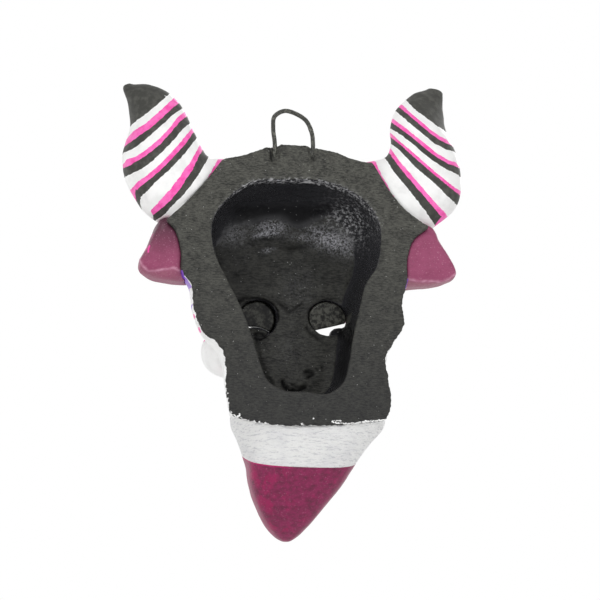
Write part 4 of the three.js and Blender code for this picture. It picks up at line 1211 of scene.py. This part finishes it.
def brow(side):
    base = EYE_MIDDLE[1] + EYE_HOLE_RADIUS + LID_MARGIN + BROW_GAP_ABOVE_LID
    route = [face_place(side, EYE_SPACING / 2 + a, base + up) for a, up in BROW_ROUTE]
    wide, high = np.multiply([(0.9, 1, 0.9, 0.5), (1.1, 1, 0.8, 0.5)], BROW_RADIUS)
    return face_roll(route, 1, wide, high)


def nostril(side, up, lift):
    """Place on a side of the nose, some nostril radii above its lower end."""
    low = NOSE_TOP - NOSE_LENGTH
    return on_face(face_place(side, NOSTRIL_SPACING / 2, low + NOSTRIL_RADIUS * up), lift)


def nose():
    x, low = EYE_MIDDLE[0], NOSE_TOP - NOSE_LENGTH
    route = [(x, NOSE_TOP), (x, NOSE_TOP - NOSE_LENGTH * 0.45), (x, low + NOSE_TIP_RADIUS * 0.6)]
    body = face_roll(route, (-1, NOSE_BRIDGE_RISE, NOSE_RISE),
                     [NOSE_BRIDGE_RADIUS * 0.8, NOSE_BRIDGE_RADIUS, NOSE_TIP_RADIUS],
                     [NOSE_BRIDGE_RADIUS, NOSE_BRIDGE_RADIUS * 1.3, NOSE_TIP_RADIUS])
    for side in (1, -1):
        radii = (NOSTRIL_RADIUS, NOSTRIL_RADIUS * 1.2, NOSTRIL_RADIUS)
        combine(body, ball(nostril(side, 1.3, NOSTRIL_RISE), radii), "UNION")
    return body


def cheek_middle(side):
    return on_face(face_place(side, CHEEK_SPACING / 2, CHEEK_HEIGHT), -CHEEK_DEPTH)


# Painted marks on the cheeks: a round blush on the front and small dots about it, as shares of the radius
BLUSH_SHARE = 0.52
CHEEK_DOTS = [(0.74, 0.30), (0.56, 0.60), (0.20, 0.80), (-0.30, 0.78), (0.78, -0.20), (0.60, -0.58)]
CHEEK_DOT_SHARE = 0.085
SIDE_DOT, SIDE_DOT_RADIUS = (44.0, -31.0, -85.5), 1.3


def cheek_blush(points, side):
    """Signed distance to the painted marks of a cheek, less than zero inside them."""
    centre = cheek_middle(side)
    flat = (points[:, [0, 2]] - centre[[0, 2]]) * [side, 1] / CHEEK_RADIUS
    marks = [np.linalg.norm(flat, axis=1) - BLUSH_SHARE]
    marks += [np.linalg.norm(flat - dot, axis=1) - CHEEK_DOT_SHARE for dot in CHEEK_DOTS]
    front = np.where(points[:, 1] < centre[1] - 3, np.min(marks, axis=0) * CHEEK_RADIUS, FAR)
    return np.minimum(front, np.linalg.norm(points - SIDE_DOT, axis=1) - SIDE_DOT_RADIUS)


def upper_lip():
    route = [face_place(s, MOUTH_HALF_WIDTH, MOUTH_TOP + up * UPPER_LIP_RADIUS)
             for s, up in ((-1, 0.75), (-0.5, -0.25), (0, 0.12), (0.5, -0.25), (1, 0.75))]
    half = np.multiply((0.6, 1, 0.9, 1, 0.6), UPPER_LIP_RADIUS)
    return face_roll(route, LIP_LIFT, half, half)


def lower_lip(grown=0.0):
    route = [face_place(s, MOUTH_HALF_WIDTH, MOUTH_TOP - d * MOUTH_OPENING)
             for s, d in ((-0.94, 0.22), (-0.58, 0.8), (0, 1), (0.58, 0.8), (0.94, 0.22))]
    half = np.multiply((0.6, 0.95, 1, 0.95, 0.6), LOWER_LIP_RADIUS)
    return face_roll(route, LIP_LIFT, half, half, grown)


def tooth_row():
    z = MOUTH_TOP - UPPER_LIP_RADIUS * 0.6 - TOOTH_HEIGHT / 2
    half = [TOOTH_HEIGHT / 2] * 2
    return face_roll([face_place(s, TOOTH_ROW_HALF_WIDTH, z) for s in (-1, 0, 1)], 0.5, half, half)


def fang(side):
    top = MOUTH_TOP - UPPER_LIP_RADIUS * 0.4
    x, _ = face_place(side, FANG_SPACING / 2, top)
    y = front_at(x, top - FANG_LENGTH / 2)[0] - FANG_RADIUS * 0.6
    rings = []
    for share in np.linspace(0, 0.97, 12):
        radius = FANG_RADIUS * (1 - share) ** 0.85
        centre = (x, y - 0.8 * share ** 2, top - share * FANG_LENGTH)
        rings.append(ring(centre, (radius, 0, 0), (0, radius, 0), 32))
    return loft("fang", rings)


def wire():
    bend = WIRE_DIAMETER * 1.5
    legs = [[(x, -WIRE_END_DEPTH, z), (x, -WIRE_DEPTH - bend, z), (x, -WIRE_DEPTH, z + bend)]
            for x, z in (WIRE_LEG_LEFT, WIRE_LEG_RIGHT)]
    path = curve_points([*legs[0], *[(x, -WIRE_DEPTH, z) for x, z in WIRE_ROUTE], *legs[1][::-1]], 260)
    loose = smooth_step(path[:, 2], 6, 12)[:, None]
    path = path + loose * 0.22 * np.stack([LUMPS.at(path + far, size) for far, size in ((0, 7), (70, 9), (30, 7))], 1)
    tangents = np.gradient(path, axis=0)
    tangents /= np.linalg.norm(tangents, axis=1)[:, None]
    rings, side = [], np.array([1.0, 0.0, 0.0])
    bump_at = place_at(WIRE_BUMP, -WIRE_DEPTH)
    for p, t in zip(path, tangents):
        side = side - t * (side @ t)
        side /= np.linalg.norm(side)
        radius = WIRE_DIAMETER / 2 + 0.06 + 0.35 * math.exp(-((p - bump_at) @ (p - bump_at)) / 1.2)
        rings.append(ring(p, radius * side, radius * np.cross(t, side), 20))
    return loft("wire", rings)


# Materials

def srgb(red, green, blue):
    def linear(c):
        c /= 255
        return c / 12.92 if c <= 0.04045 else ((c + 0.055) / 1.055) ** 2.4
    return linear(red), linear(green), linear(blue), 1.0


BLACK_RIM = srgb(38, 38, 36)
BLACK_RIM_LIGHT = srgb(86, 86, 80)
BLACK_FLOOR = srgb(15, 15, 14)
BLACK_FLOOR_LIGHT = srgb(66, 66, 62)
BLACK_WALL_SHADE = srgb(43, 43, 46)
BLACK_SHADE = srgb(34, 34, 36)
BLACK_DEEP_SHADE = srgb(6, 6, 7)
BLACK_GRAIN = srgb(24, 24, 22)
SHEEN_GREY = srgb(174, 174, 180)
GLINT_GREY = srgb(184, 184, 186)
BLACK_STRIPE = srgb(52, 52, 48)
BLACK_STRIPE_LIGHT = srgb(74, 74, 69)
WHITE = srgb(243, 243, 242)
WHITE_DUSTY = srgb(229, 229, 228)
CHIN_WHITE = srgb(251, 251, 250)
CHIN_GREY = srgb(239, 239, 240)
CHIN_FOLD_SHADE = srgb(198, 198, 203)
PINK = srgb(250, 112, 192)
PINK_DEEP = srgb(240, 72, 165)
PLUM_EAR = srgb(148, 70, 103)
PLUM_EAR_DARK = srgb(136, 60, 92)
PLUM_BEARD = srgb(134, 32, 80)
PLUM_BEARD_DARK = srgb(92, 24, 54)
PLUM_WARM = srgb(160, 14, 84)
PLUM_UNDERSIDE_REFLECTION = srgb(160, 112, 122)
PLUM_GLINT = srgb(205, 150, 172)
PLUM_TOP_SHADE = srgb(52, 28, 38)
PLUM_EDGE_REFLECTION = srgb(178, 128, 142)
JOINT_PINK = srgb(188, 22, 106)
VIOLET = srgb(140, 90, 205)
MOUTH_DARK = srgb(70, 14, 34)
TOOTH = srgb(240, 234, 214)
TOOTH_STAIN = srgb(205, 190, 150)
WIRE_DARK = srgb(48, 49, 45)
WIRE_LIGHT = srgb(98, 98, 90)
BROW_SHEEN = srgb(40, 39, 37)


class Value:
    """Output of a shader node that can be added to, taken from and multiplied by others."""

    def __init__(self, graph, socket):
        self.graph, self.socket = graph, socket

    def __add__(self, other):
        return self.graph.math("ADD", self, other)

    def __sub__(self, other):
        return self.graph.math("SUBTRACT", self, other)

    def __mul__(self, other):
        return self.graph.math("MULTIPLY", self, other)

    def __truediv__(self, other):
        return self.graph.math("DIVIDE", self, other)


class Graph:
    """Small helper that strings shader nodes together for a material or the world."""

    def __init__(self, owner):
        owner.use_nodes = True
        self.nodes, self.links = owner.node_tree.nodes, owner.node_tree.links
        self.nodes.clear()

    def feed(self, socket, value):
        if isinstance(value, Value):
            self.links.new(value.socket, socket)
        else:
            socket.default_value = value

    def node(self, kind, inputs=None, output=0, **settings):
        """Adds a node, sets it up, feeds its inputs and gives one of its outputs, if it has any."""
        node = self.nodes.new(kind)
        for key, value in settings.items():
            setattr(node, key, value)
        for key, value in (inputs or {}).items():
            self.feed(node.inputs[key], value)
        return Value(self, node.outputs[output]) if len(node.outputs) else None

    def math(self, operation, a, b):
        return self.node("ShaderNodeMath", {0: a, 1: b}, operation=operation)

    def larger(self, a, b):
        return self.math("MAXIMUM", a, b)


class Painter(Graph):
    """The nodes of one material. Sizes are in millimetres."""

    def __init__(self, name):
        self.material = bpy.data.materials.new(name)
        super().__init__(self.material)
        self.shader = self.nodes.new("ShaderNodeBsdfPrincipled")
        self.output = self.nodes.new("ShaderNodeOutputMaterial")
        self.links.new(self.shader.outputs[0], self.output.inputs[0])
        self.place = self.node("ShaderNodeTexCoord", output="Object")

    def field(self, name):
        return self.node("ShaderNodeAttribute", output="Fac", attribute_name=name)

    def noise(self, size, detail=3.0, rough=0.55, stretch=None, raised=0.0):
        """Noise whose features are about size millimetres across, moved down by raised millimetres."""
        place = self.place
        if stretch:
            shift = (0, 0, raised * stretch[2] * MM)
            place = self.node("ShaderNodeMapping", {"Vector": place, "Scale": stretch, "Location": shift})
        return self.node("ShaderNodeTexNoise", {"Vector": place, "Scale": 1 / (size * MM), "Detail": detail,
                                                "Roughness": rough}, "Fac")

    def cells(self, size):
        return self.node("ShaderNodeTexVoronoi", {"Vector": self.place, "Scale": 1 / (size * MM)}, "Distance")

    def between(self, value, low, high):
        """0 below low, 1 above high, smooth in between."""
        return self.node("ShaderNodeMapRange", {"Value": value, "From Min": low, "From Max": high},
                         interpolation_type="SMOOTHSTEP")

    def inside(self, distance, soft=0.15):
        """1 where a signed distance is below zero, with an edge that is this soft."""
        return self.between(distance, soft, -soft)

    def range(self, value, low, high, to_low, to_high):
        return self.node("ShaderNodeMapRange", {"Value": value, "From Min": low, "From Max": high,
                                                "To Min": to_low, "To Max": to_high})

    def wobble(self, size, detail, reach):
        return self.range(self.noise(size, detail), 0, 1, -reach, reach)

    def worn(self, value, at_low, at_high):
        """Spreads a noise between two values."""
        return self.range(value, 0.3, 0.7, at_low, at_high)

    def mix(self, factor, a, b):
        return self.node("ShaderNodeMix", {"Factor": factor, 6: a, 7: b}, 2, data_type="RGBA")

    def blend(self, factor, a, b):
        return self.node("ShaderNodeMix", {"Factor": factor, 2: a, 3: b}, data_type="FLOAT")

    def steps(self, factor, colours):
        """Bands of flat colour, each of the same width between 0 and 1."""
        value = self.node("ShaderNodeValToRGB", {0: factor})
        ramp = value.socket.node.color_ramp
        ramp.interpolation = "CONSTANT"
        for k, colour in enumerate(colours):
            element = ramp.elements[k] if k < 2 else ramp.elements.new(k / len(colours))
            element.position = k / len(colours)
            element.color = colour
        return value

    def finish(self, colour, rough, height=None, distance=0.1, strength=0.7, specular=0.5, coat=0.0,
               coat_rough=0.1, metallic=0.0):
        """Feeds the shader; height, distance and strength make the bumps."""
        values = {"Base Color": colour, "Roughness": rough, "Specular IOR Level": specular, "Coat Weight": coat,
                  "Coat Roughness": coat_rough, "Metallic": metallic}
        if height:
            values["Normal"] = self.node("ShaderNodeBump", {"Strength": strength, "Distance": distance * MM,
                                                            "Height": height})
        for name, value in values.items():
            self.feed(self.shader.inputs[name], value)
        return self.material


def shell_paint():
    p = Painter("face_shell_paint")
    coated = p.between(p.field("black") + p.wobble(1.4, 4, 0.9), -0.1, 0.1)
    hollow = p.between(p.field("hollow"), 0.15, 0.75)
    wall = p.between(p.field("wall") + p.range(p.noise(3.4, 4, 0.6), 0, 1, -0.3, 0.3), 0.2, 0.6)
    wet, deep_shade = p.field("wet"), p.field("deep_shade")
    gloss = p.larger(wall, wet) - deep_shade
    mottle = (p.range(p.noise(1.1, 5, 0.75, (0.45, 1, 1.6)), 0.43, 0.57, 0.0, 0.72)
              + p.range(p.noise(7, 5, 0.6, (1, 1, 1.3)), 0.41, 0.59, 0.0, 0.38))
    grain = p.noise(0.6, 4, 0.7)
    floor = p.mix(mottle, BLACK_FLOOR, BLACK_FLOOR_LIGHT)
    black = p.mix(hollow, p.mix(mottle, BLACK_RIM, BLACK_RIM_LIGHT), floor)
    black = p.mix(p.between(grain, 0.52, 0.66) * 0.5, black, BLACK_GRAIN)
    shade = p.field("shade") * p.blend(hollow, 0.95, 0.6)
    black = p.mix(shade, black, p.mix(hollow, BLACK_SHADE, BLACK_DEEP_SHADE))
    streaky = p.range(p.noise(0.9, 4, 0.75), 0.44, 0.60, 0.0, 1.25)
    black = p.mix(p.field("sheen") * streaky, black, SHEEN_GREY)
    # Painted shade: near-black on the walls and under the top of the hollow, darker still in creases, notches and dark
    # spots
    black = p.mix(deep_shade, p.mix(wall, black, BLACK_WALL_SHADE), BLACK_DEEP_SHADE)
    speckle = p.between(p.noise(1.7, 4, 0.65, (0.9, 1, 1.25)) + p.field("lip") * 0.05, 0.47, 0.66)
    black = p.mix(speckle * p.field("glint"), black, GLINT_GREY)
    chips = p.noise(1.3, 5, 0.7) - p.field("rim_inset") * 0.10 + p.field("chipped") * 0.14
    black = p.mix(p.between(chips, 0.68, 0.70), black, WHITE_DUSTY)
    torn = p.field("chip") + p.worn(p.noise(0.9, 4, 0.7), -0.45, 0.45)
    black = p.mix(p.inside(torn, 0.08), black, WHITE)
    specks = p.cells(2.4) + p.wobble(9, 2, -0.10)
    black = p.mix(p.between(specks, 0.075, 0.04) * 0.5, black, WHITE_DUSTY)
    white = p.mix(p.between(p.noise(9, 4), 0.4, 0.7), WHITE, WHITE_DUSTY)
    wobble = p.wobble(2.2, 3, 0.5)
    for name, paint in (("violet", VIOLET), ("pink", PINK_DEEP), ("ink", BLACK_STRIPE), ("mouth", MOUTH_DARK)):
        white = p.mix(p.inside(p.field(name) + wobble), white, paint)
    colour = p.mix(p.inside(p.field("dab"), 0.2), p.mix(coated, white, black), VIOLET)
    strokes = p.noise(2.2, 5, 0.65, (1, 1, 2.2))
    matt = p.blend(hollow, p.worn(strokes, 0.80, 0.62), p.worn(strokes, 0.62, 0.5))
    rough = p.blend(coated, p.worn(strokes, 0.40, 0.30), p.blend(gloss, matt, p.worn(grain, 0.30, 0.16)))
    height = p.blend(coated, strokes * 0.4, strokes + grain + p.noise(1.5, 4, 0.6) * 3.2 * wet)
    shine = p.blend(gloss, p.blend(coated, 0.4, p.blend(hollow, 0.27, 0.2)), 0.4)
    return p.finish(colour, rough, height, 0.2, 0.9, p.blend(deep_shade, shine, 0.08))


def horn_paint():
    p = Painter("horn_paint")
    patchy = p.noise(3.2, 4, 0.6)
    paints = {
        "white": p.mix(p.between(p.noise(6, 3), 0.4, 0.75), WHITE, WHITE_DUSTY),
        "pink": p.mix(p.between(patchy, 0.35, 0.7), PINK, PINK_DEEP),
        "black": p.mix(p.between(patchy, 0.4, 0.7), BLACK_STRIPE, BLACK_STRIPE_LIGHT),
    }
    flags = {"pink": (1, 0, 0, 1), "white": (0, 1, 0, 1), "black": (0, 0, 0, 1)}
    bands = (p.field("band") + p.wobble(2.6, 3, 0.16)) / len(BAND_COLOURS)
    flags = p.steps(bands, [flags[colour] for colour in BAND_COLOURS])
    is_pink = p.node("ShaderNodeSeparateColor", {0: flags})
    is_white = Value(p, is_pink.socket.node.outputs[1])
    colour = p.mix(is_white, p.mix(is_pink, paints["black"], paints["pink"]), paints["white"])
    for name, paint in paints.items():
        colour = p.mix(p.inside(p.field(f"end_{name}"), 0.12), colour, paint)
    rough = p.blend(p.larger(is_pink, is_white), 0.6, p.worn(patchy, 0.42, 0.32))
    return p.finish(colour, rough, p.noise(1.8, 4, 0.6), 0.12, 0.6, 0.35)


def plum_paint(name, light, dark, size, dots=False):
    p = Painter(name)
    patchy = p.noise(size, 6, 0.7, (1, 1, 1.6))
    colour = p.mix(p.between(patchy, 0.34, 0.72), light, dark)
    if dots:
        wobble = p.wobble(2, 2, 0.4)
        mottled = p.worn(p.noise(1.6, 5, 0.7), 0.3, 1.2)
        # Pink bowl and dots, painted reflection on the underside, painted shade on the top, painted highlight on the
        # fold, and dabs
        for share, paint in (
                (p.inside(p.field("bowl") + wobble * 0.15, 0.03), PINK),
                (p.inside(p.field("dots") + wobble), PINK_DEEP), (p.field("under") * mottled, PLUM_UNDERSIDE_REFLECTION),
                (p.field("top"), PLUM_TOP_SHADE), (p.field("fold") * 0.7, PLUM_GLINT),
                (p.inside(p.field("violet"), 0.2), VIOLET), (p.between(p.field("dab"), 0.3, -0.1), PINK_DEEP)):
            colour = p.mix(share, colour, paint)
    else:
        warm = p.between(p.noise(7, 5, 0.65, (1.4, 1, 0.7)) + p.field("warm"), 0.56, 0.74)
        # The edge field is a painted reflection along the sides that turn away
        for share, paint in ((warm * 0.6, PLUM_WARM), (p.field("edge"), PLUM_EDGE_REFLECTION), (p.field("joint"), JOINT_PINK)):
            colour = p.mix(share, colour, paint)
    specks = p.between(p.noise(0.75, 3, 0.6), 0.60, 0.68) * (0.35 if dots else 0.2)
    height = p.noise(1.0, 5, 0.7) + p.noise(2.6, 3, 0.6, (1, 1, 2.2))
    return p.finish(p.mix(specks, colour, PLUM_GLINT), p.worn(patchy, 0.56, 0.42), height, 0.2, 0.8, 0.3, 0.06, 0.2)


def simple_paint(name, light, dark, size, rough, bumps=0.1, coat=0.0, black_back=False):
    p = Painter(name)
    patchy = p.noise(size, 5, 0.62)
    colour, shine = p.mix(p.between(patchy, 0.34, 0.72), light, dark), 0.5
    if black_back:
        charcoal = p.mix(p.between(p.noise(2.3, 5, 0.72), 0.42, 0.58), BLACK_GRAIN, BLACK_RIM_LIGHT)
        clouds = p.range(p.noise(4.5, 4, 0.6), 0.42, 0.58, 0.5, 1.15)
        charcoal = p.mix(p.field("shade") * clouds, charcoal, BLACK_DEEP_SHADE)
        back = p.inside(p.field("behind") + p.wobble(1.6, 3, 0.5), 0.1)
        colour, shine = p.mix(back, colour, charcoal), p.blend(back, 0.5, 0.2)
    rough = p.worn(patchy, rough + 0.06, rough - 0.05)
    return p.finish(colour, rough, p.noise(1.4, 5, 0.65), bumps, 0.7, shine, coat)


def cheek_paint():
    p = Painter("cheek_paint")
    white = p.mix(p.between(p.noise(7, 4), 0.4, 0.7), WHITE, WHITE_DUSTY)
    pink = p.mix(p.between(p.noise(3, 3), 0.35, 0.7), PINK, PINK_DEEP)
    colour = p.mix(p.inside(p.field("blush") + p.wobble(2, 3, 0.5)), white, pink)
    return p.finish(colour, 0.4, p.noise(1.4, 5, 0.65), specular=0.4)


def chin_paint():
    p = Painter("chin_paint")
    strokes = p.noise(4.2, 6, 0.78, (0.8, 1, 2.6))
    colour = p.mix(p.between(p.noise(12, 3), 0.4, 0.72), CHIN_WHITE, CHIN_GREY)
    # Painted shade along one side of small folds, from two noises shifted up and down against each other
    fold_shading = [p.noise(3.6, 5, 0.66, (0.55, 1, 1.9), raised) for raised in (0.0, 0.45)]
    colour = p.mix(p.between(fold_shading[0] - fold_shading[1], 0.01, 0.11) * 0.6, colour, CHIN_FOLD_SHADE)
    return p.finish(colour, p.worn(strokes, 0.46, 0.32), strokes + p.noise(1.3, 4, 0.7) * 0.4, 1.6, 1.0)


def wire_steel():
    p = Painter("wire_steel")
    patchy = p.noise(1.6, 4)
    colour = p.mix(p.between(patchy, 0.45, 0.7), WIRE_DARK, WIRE_LIGHT)
    return p.finish(colour, p.worn(patchy, 0.5, 0.34), p.noise(0.9, 3, 0.6), 0.04, 0.5, metallic=0.35)


# Everything in its place

SMALL = {"voxel": 0.35, "rounds": 2, "lumps": (0.05, 8), "grain": (0.0, 2.2)}


def build_object():
    plum = plum_paint("plum_paint", PLUM_BEARD, PLUM_BEARD_DARK, 3.2)
    ear_plum = plum_paint("ear_paint", PLUM_EAR, PLUM_EAR_DARK, 6, dots=True)
    cheek_white, horn_stripes = cheek_paint(), horn_paint()
    pink = simple_paint("pink_paint", PINK, PINK_DEEP, 5, 0.3, black_back=True)
    brow_black = simple_paint("brow_paint", BLACK_STRIPE, BROW_SHEEN, 4, 0.4, 0.2)
    tooth = simple_paint("tooth_paint", TOOTH, TOOTH_STAIN, 3, 0.25, 0.05)

    finish_piece(face_shell(), "face_shell", shell_paint())
    seat, tip_cutter, lip_space = dome(-0.25), dome(-0.05), lower_lip(0.05)
    for word in ("left", "right"):
        ear_body = ear(word)
        finish_piece(painted_horn(word, seat, ear_body), f"horn_{word}", horn_stripes)
        bpy.data.objects.remove(ear_body)
        finish_piece(painted_ear(word, seat), f"ear_{word}", ear_plum)
    chin, beard = chin_and_beard(tip_cutter, lip_space)
    finish_piece(chin, "chin", chin_paint())
    finish_piece(beard, "beard", plum)

    for side, word in ((1, "left"), (-1, "right")):
        finish_piece(painted_lid(side, word, seat), f"upper_eyelid_{word}", pink)
        piece = clay_piece(lower_lid(side), seat)
        set_fields(piece, behind=FAR)
        finish_piece(piece, f"lower_eyelid_{word}", pink)
        piece = clay_piece(ball(cheek_middle(side), (CHEEK_RADIUS,) * 3), seat)
        set_fields(piece, blush=cheek_blush(points_of(piece), side))
        finish_piece(piece, f"cheek_{word}", cheek_white)
        piece = clay_piece(brow(side), seat)
        x, _, z = points_of(piece).T
        push(piece, -0.45 * np.clip(np.sin((x * side + z * 0.8) * 1.9), 0, 1) ** 2)
        finish_piece(piece, f"brow_{word}", brow_black)
        finish_piece(clay_piece(fang(side), seat, **SMALL), f"fang_{word}", tooth)

    piece = clay_piece(nose(), seat)
    holes = [np.sum((points_of(piece) - nostril(side, 0.35, NOSTRIL_RISE + 3.5)) ** 2, axis=1) for side in (1, -1)]
    push(piece, -2.6 * sum(np.exp(-hole / 5.5) for hole in holes))
    finish_piece(piece, "nose", plum)
    for body, node in ((upper_lip(), "upper_lip"), (lower_lip(), "lower_lip")):
        finish_piece(clay_piece(body, seat, voxel=0.5), node, plum)
    row = clay_piece(tooth_row(), seat, **SMALL)
    gaps = np.abs(((points_of(row)[:, 0] - EYE_MIDDLE[0]) / 4.0) % 1 - 0.5)
    push(row, -0.7 * near(0.5 - gaps, 0.09))
    finish_piece(row, "teeth_upper", tooth)
    for cutter in (seat, tip_cutter, lip_space):
        bpy.data.objects.remove(cutter)
    finish_piece(wire(), "hanging_wire", wire_steel())


# Floor, light and camera

FLOOR_HEIGHT = -1.15
FLOOR_HALF = 9.0
LAMPS = [
    # name, place in metres, size, power
    ("key", (0.45, 1.1, 0.95), 0.7, 6.0),
    ("fill_back", (-1.8, 2.0, -0.1), 1.8, 14.0),
    ("fill_low", (1.6, 2.0, -0.9), 1.8, 21.0),
    ("front_key", (-1.5, -2.4, 1.4), 1.7, 22.0),
    ("front_fill", (2.0, -1.8, 0.1), 1.8, 9.0),
]
WORLD_STRENGTH = 0.58
FLOOR_GLOW = 0.82
FLOOR_WHITE = srgb(250, 250, 250)
LAMP_TARGET = (0, -0.02, -0.07)


def background_rays(graph):
    """1 for rays that look at the background, straight or by reflection."""
    camera, glossy, through = (graph.node("ShaderNodeLightPath", output=f"Is {kind} Ray")
                               for kind in ("Camera", "Glossy", "Transmission"))
    return graph.larger(graph.larger(camera, glossy), through)


def build_studio():
    corners = [(x * FLOOR_HALF, y * FLOOR_HALF, FLOOR_HEIGHT) for x, y in ((-1, -1), (1, -1), (1, 1), (-1, 1))]
    plane = new_object("floor", corners, [(0, 1, 2, 3)])
    p = Painter("floor_paint")
    plane.data.materials.append(p.finish(FLOOR_WHITE, 0.9, specular=0.1))
    glow = p.node("ShaderNodeEmission", {"Color": FLOOR_WHITE, "Strength": 1.0})
    paint = Value(p, p.shader.outputs[0])
    shown = background_rays(p) * FLOOR_GLOW
    p.feed(p.output.inputs[0], p.node("ShaderNodeMixShader", {0: shown, 1: paint, 2: glow}))

    for name, place, size, power in LAMPS:
        lamp = bpy.data.lights.new(name, "AREA")
        lamp.shape, lamp.size, lamp.energy = "DISK", size, power
        obj = placed(name, lamp)
        obj.location = place
        obj.rotation_euler = (Vector(LAMP_TARGET) - Vector(place)).to_track_quat("-Z", "Y").to_euler()

    world = bpy.data.worlds.new("world")
    bpy.context.scene.world = world
    sky = Graph(world)
    soft, white = (sky.node("ShaderNodeBackground", {"Strength": strength, "Color": (1, 1, 1, 1)})
                   for strength in (WORLD_STRENGTH, 1.0))
    both = sky.node("ShaderNodeMixShader", {0: background_rays(sky), 1: soft, 2: white})
    sky.node("ShaderNodeOutputWorld", {0: both})


def build_camera():
    across = (PHOTO_CENTRE[0] - PHOTO_ORIGIN[0]) / PHOTO_SCALE
    upward = (PHOTO_ORIGIN[1] - PHOTO_CENTRE[1]) / PHOTO_SCALE
    middle = RIGHT * across + UP * upward
    middle = middle + FORWARD * ((-25 - middle[1]) / FORWARD[1])
    camera = bpy.data.cameras.new("camera")
    camera.sensor_width = SENSOR_WIDTH
    camera.lens = SENSOR_WIDTH * CAMERA_DISTANCE / (2 * PHOTO_CENTRE[0] / PHOTO_SCALE)
    camera.clip_end = 60
    obj = placed("camera", camera)
    turn = Matrix((RIGHT, UP, -FORWARD)).transposed().to_4x4()
    obj.matrix_world = Matrix.Translation(Vector((middle - FORWARD * CAMERA_DISTANCE) * MM)) @ turn
    bpy.context.scene.camera = obj


build_camera()
build_object()
build_studio()
bpy.context.scene.view_settings.view_transform = "Standard"
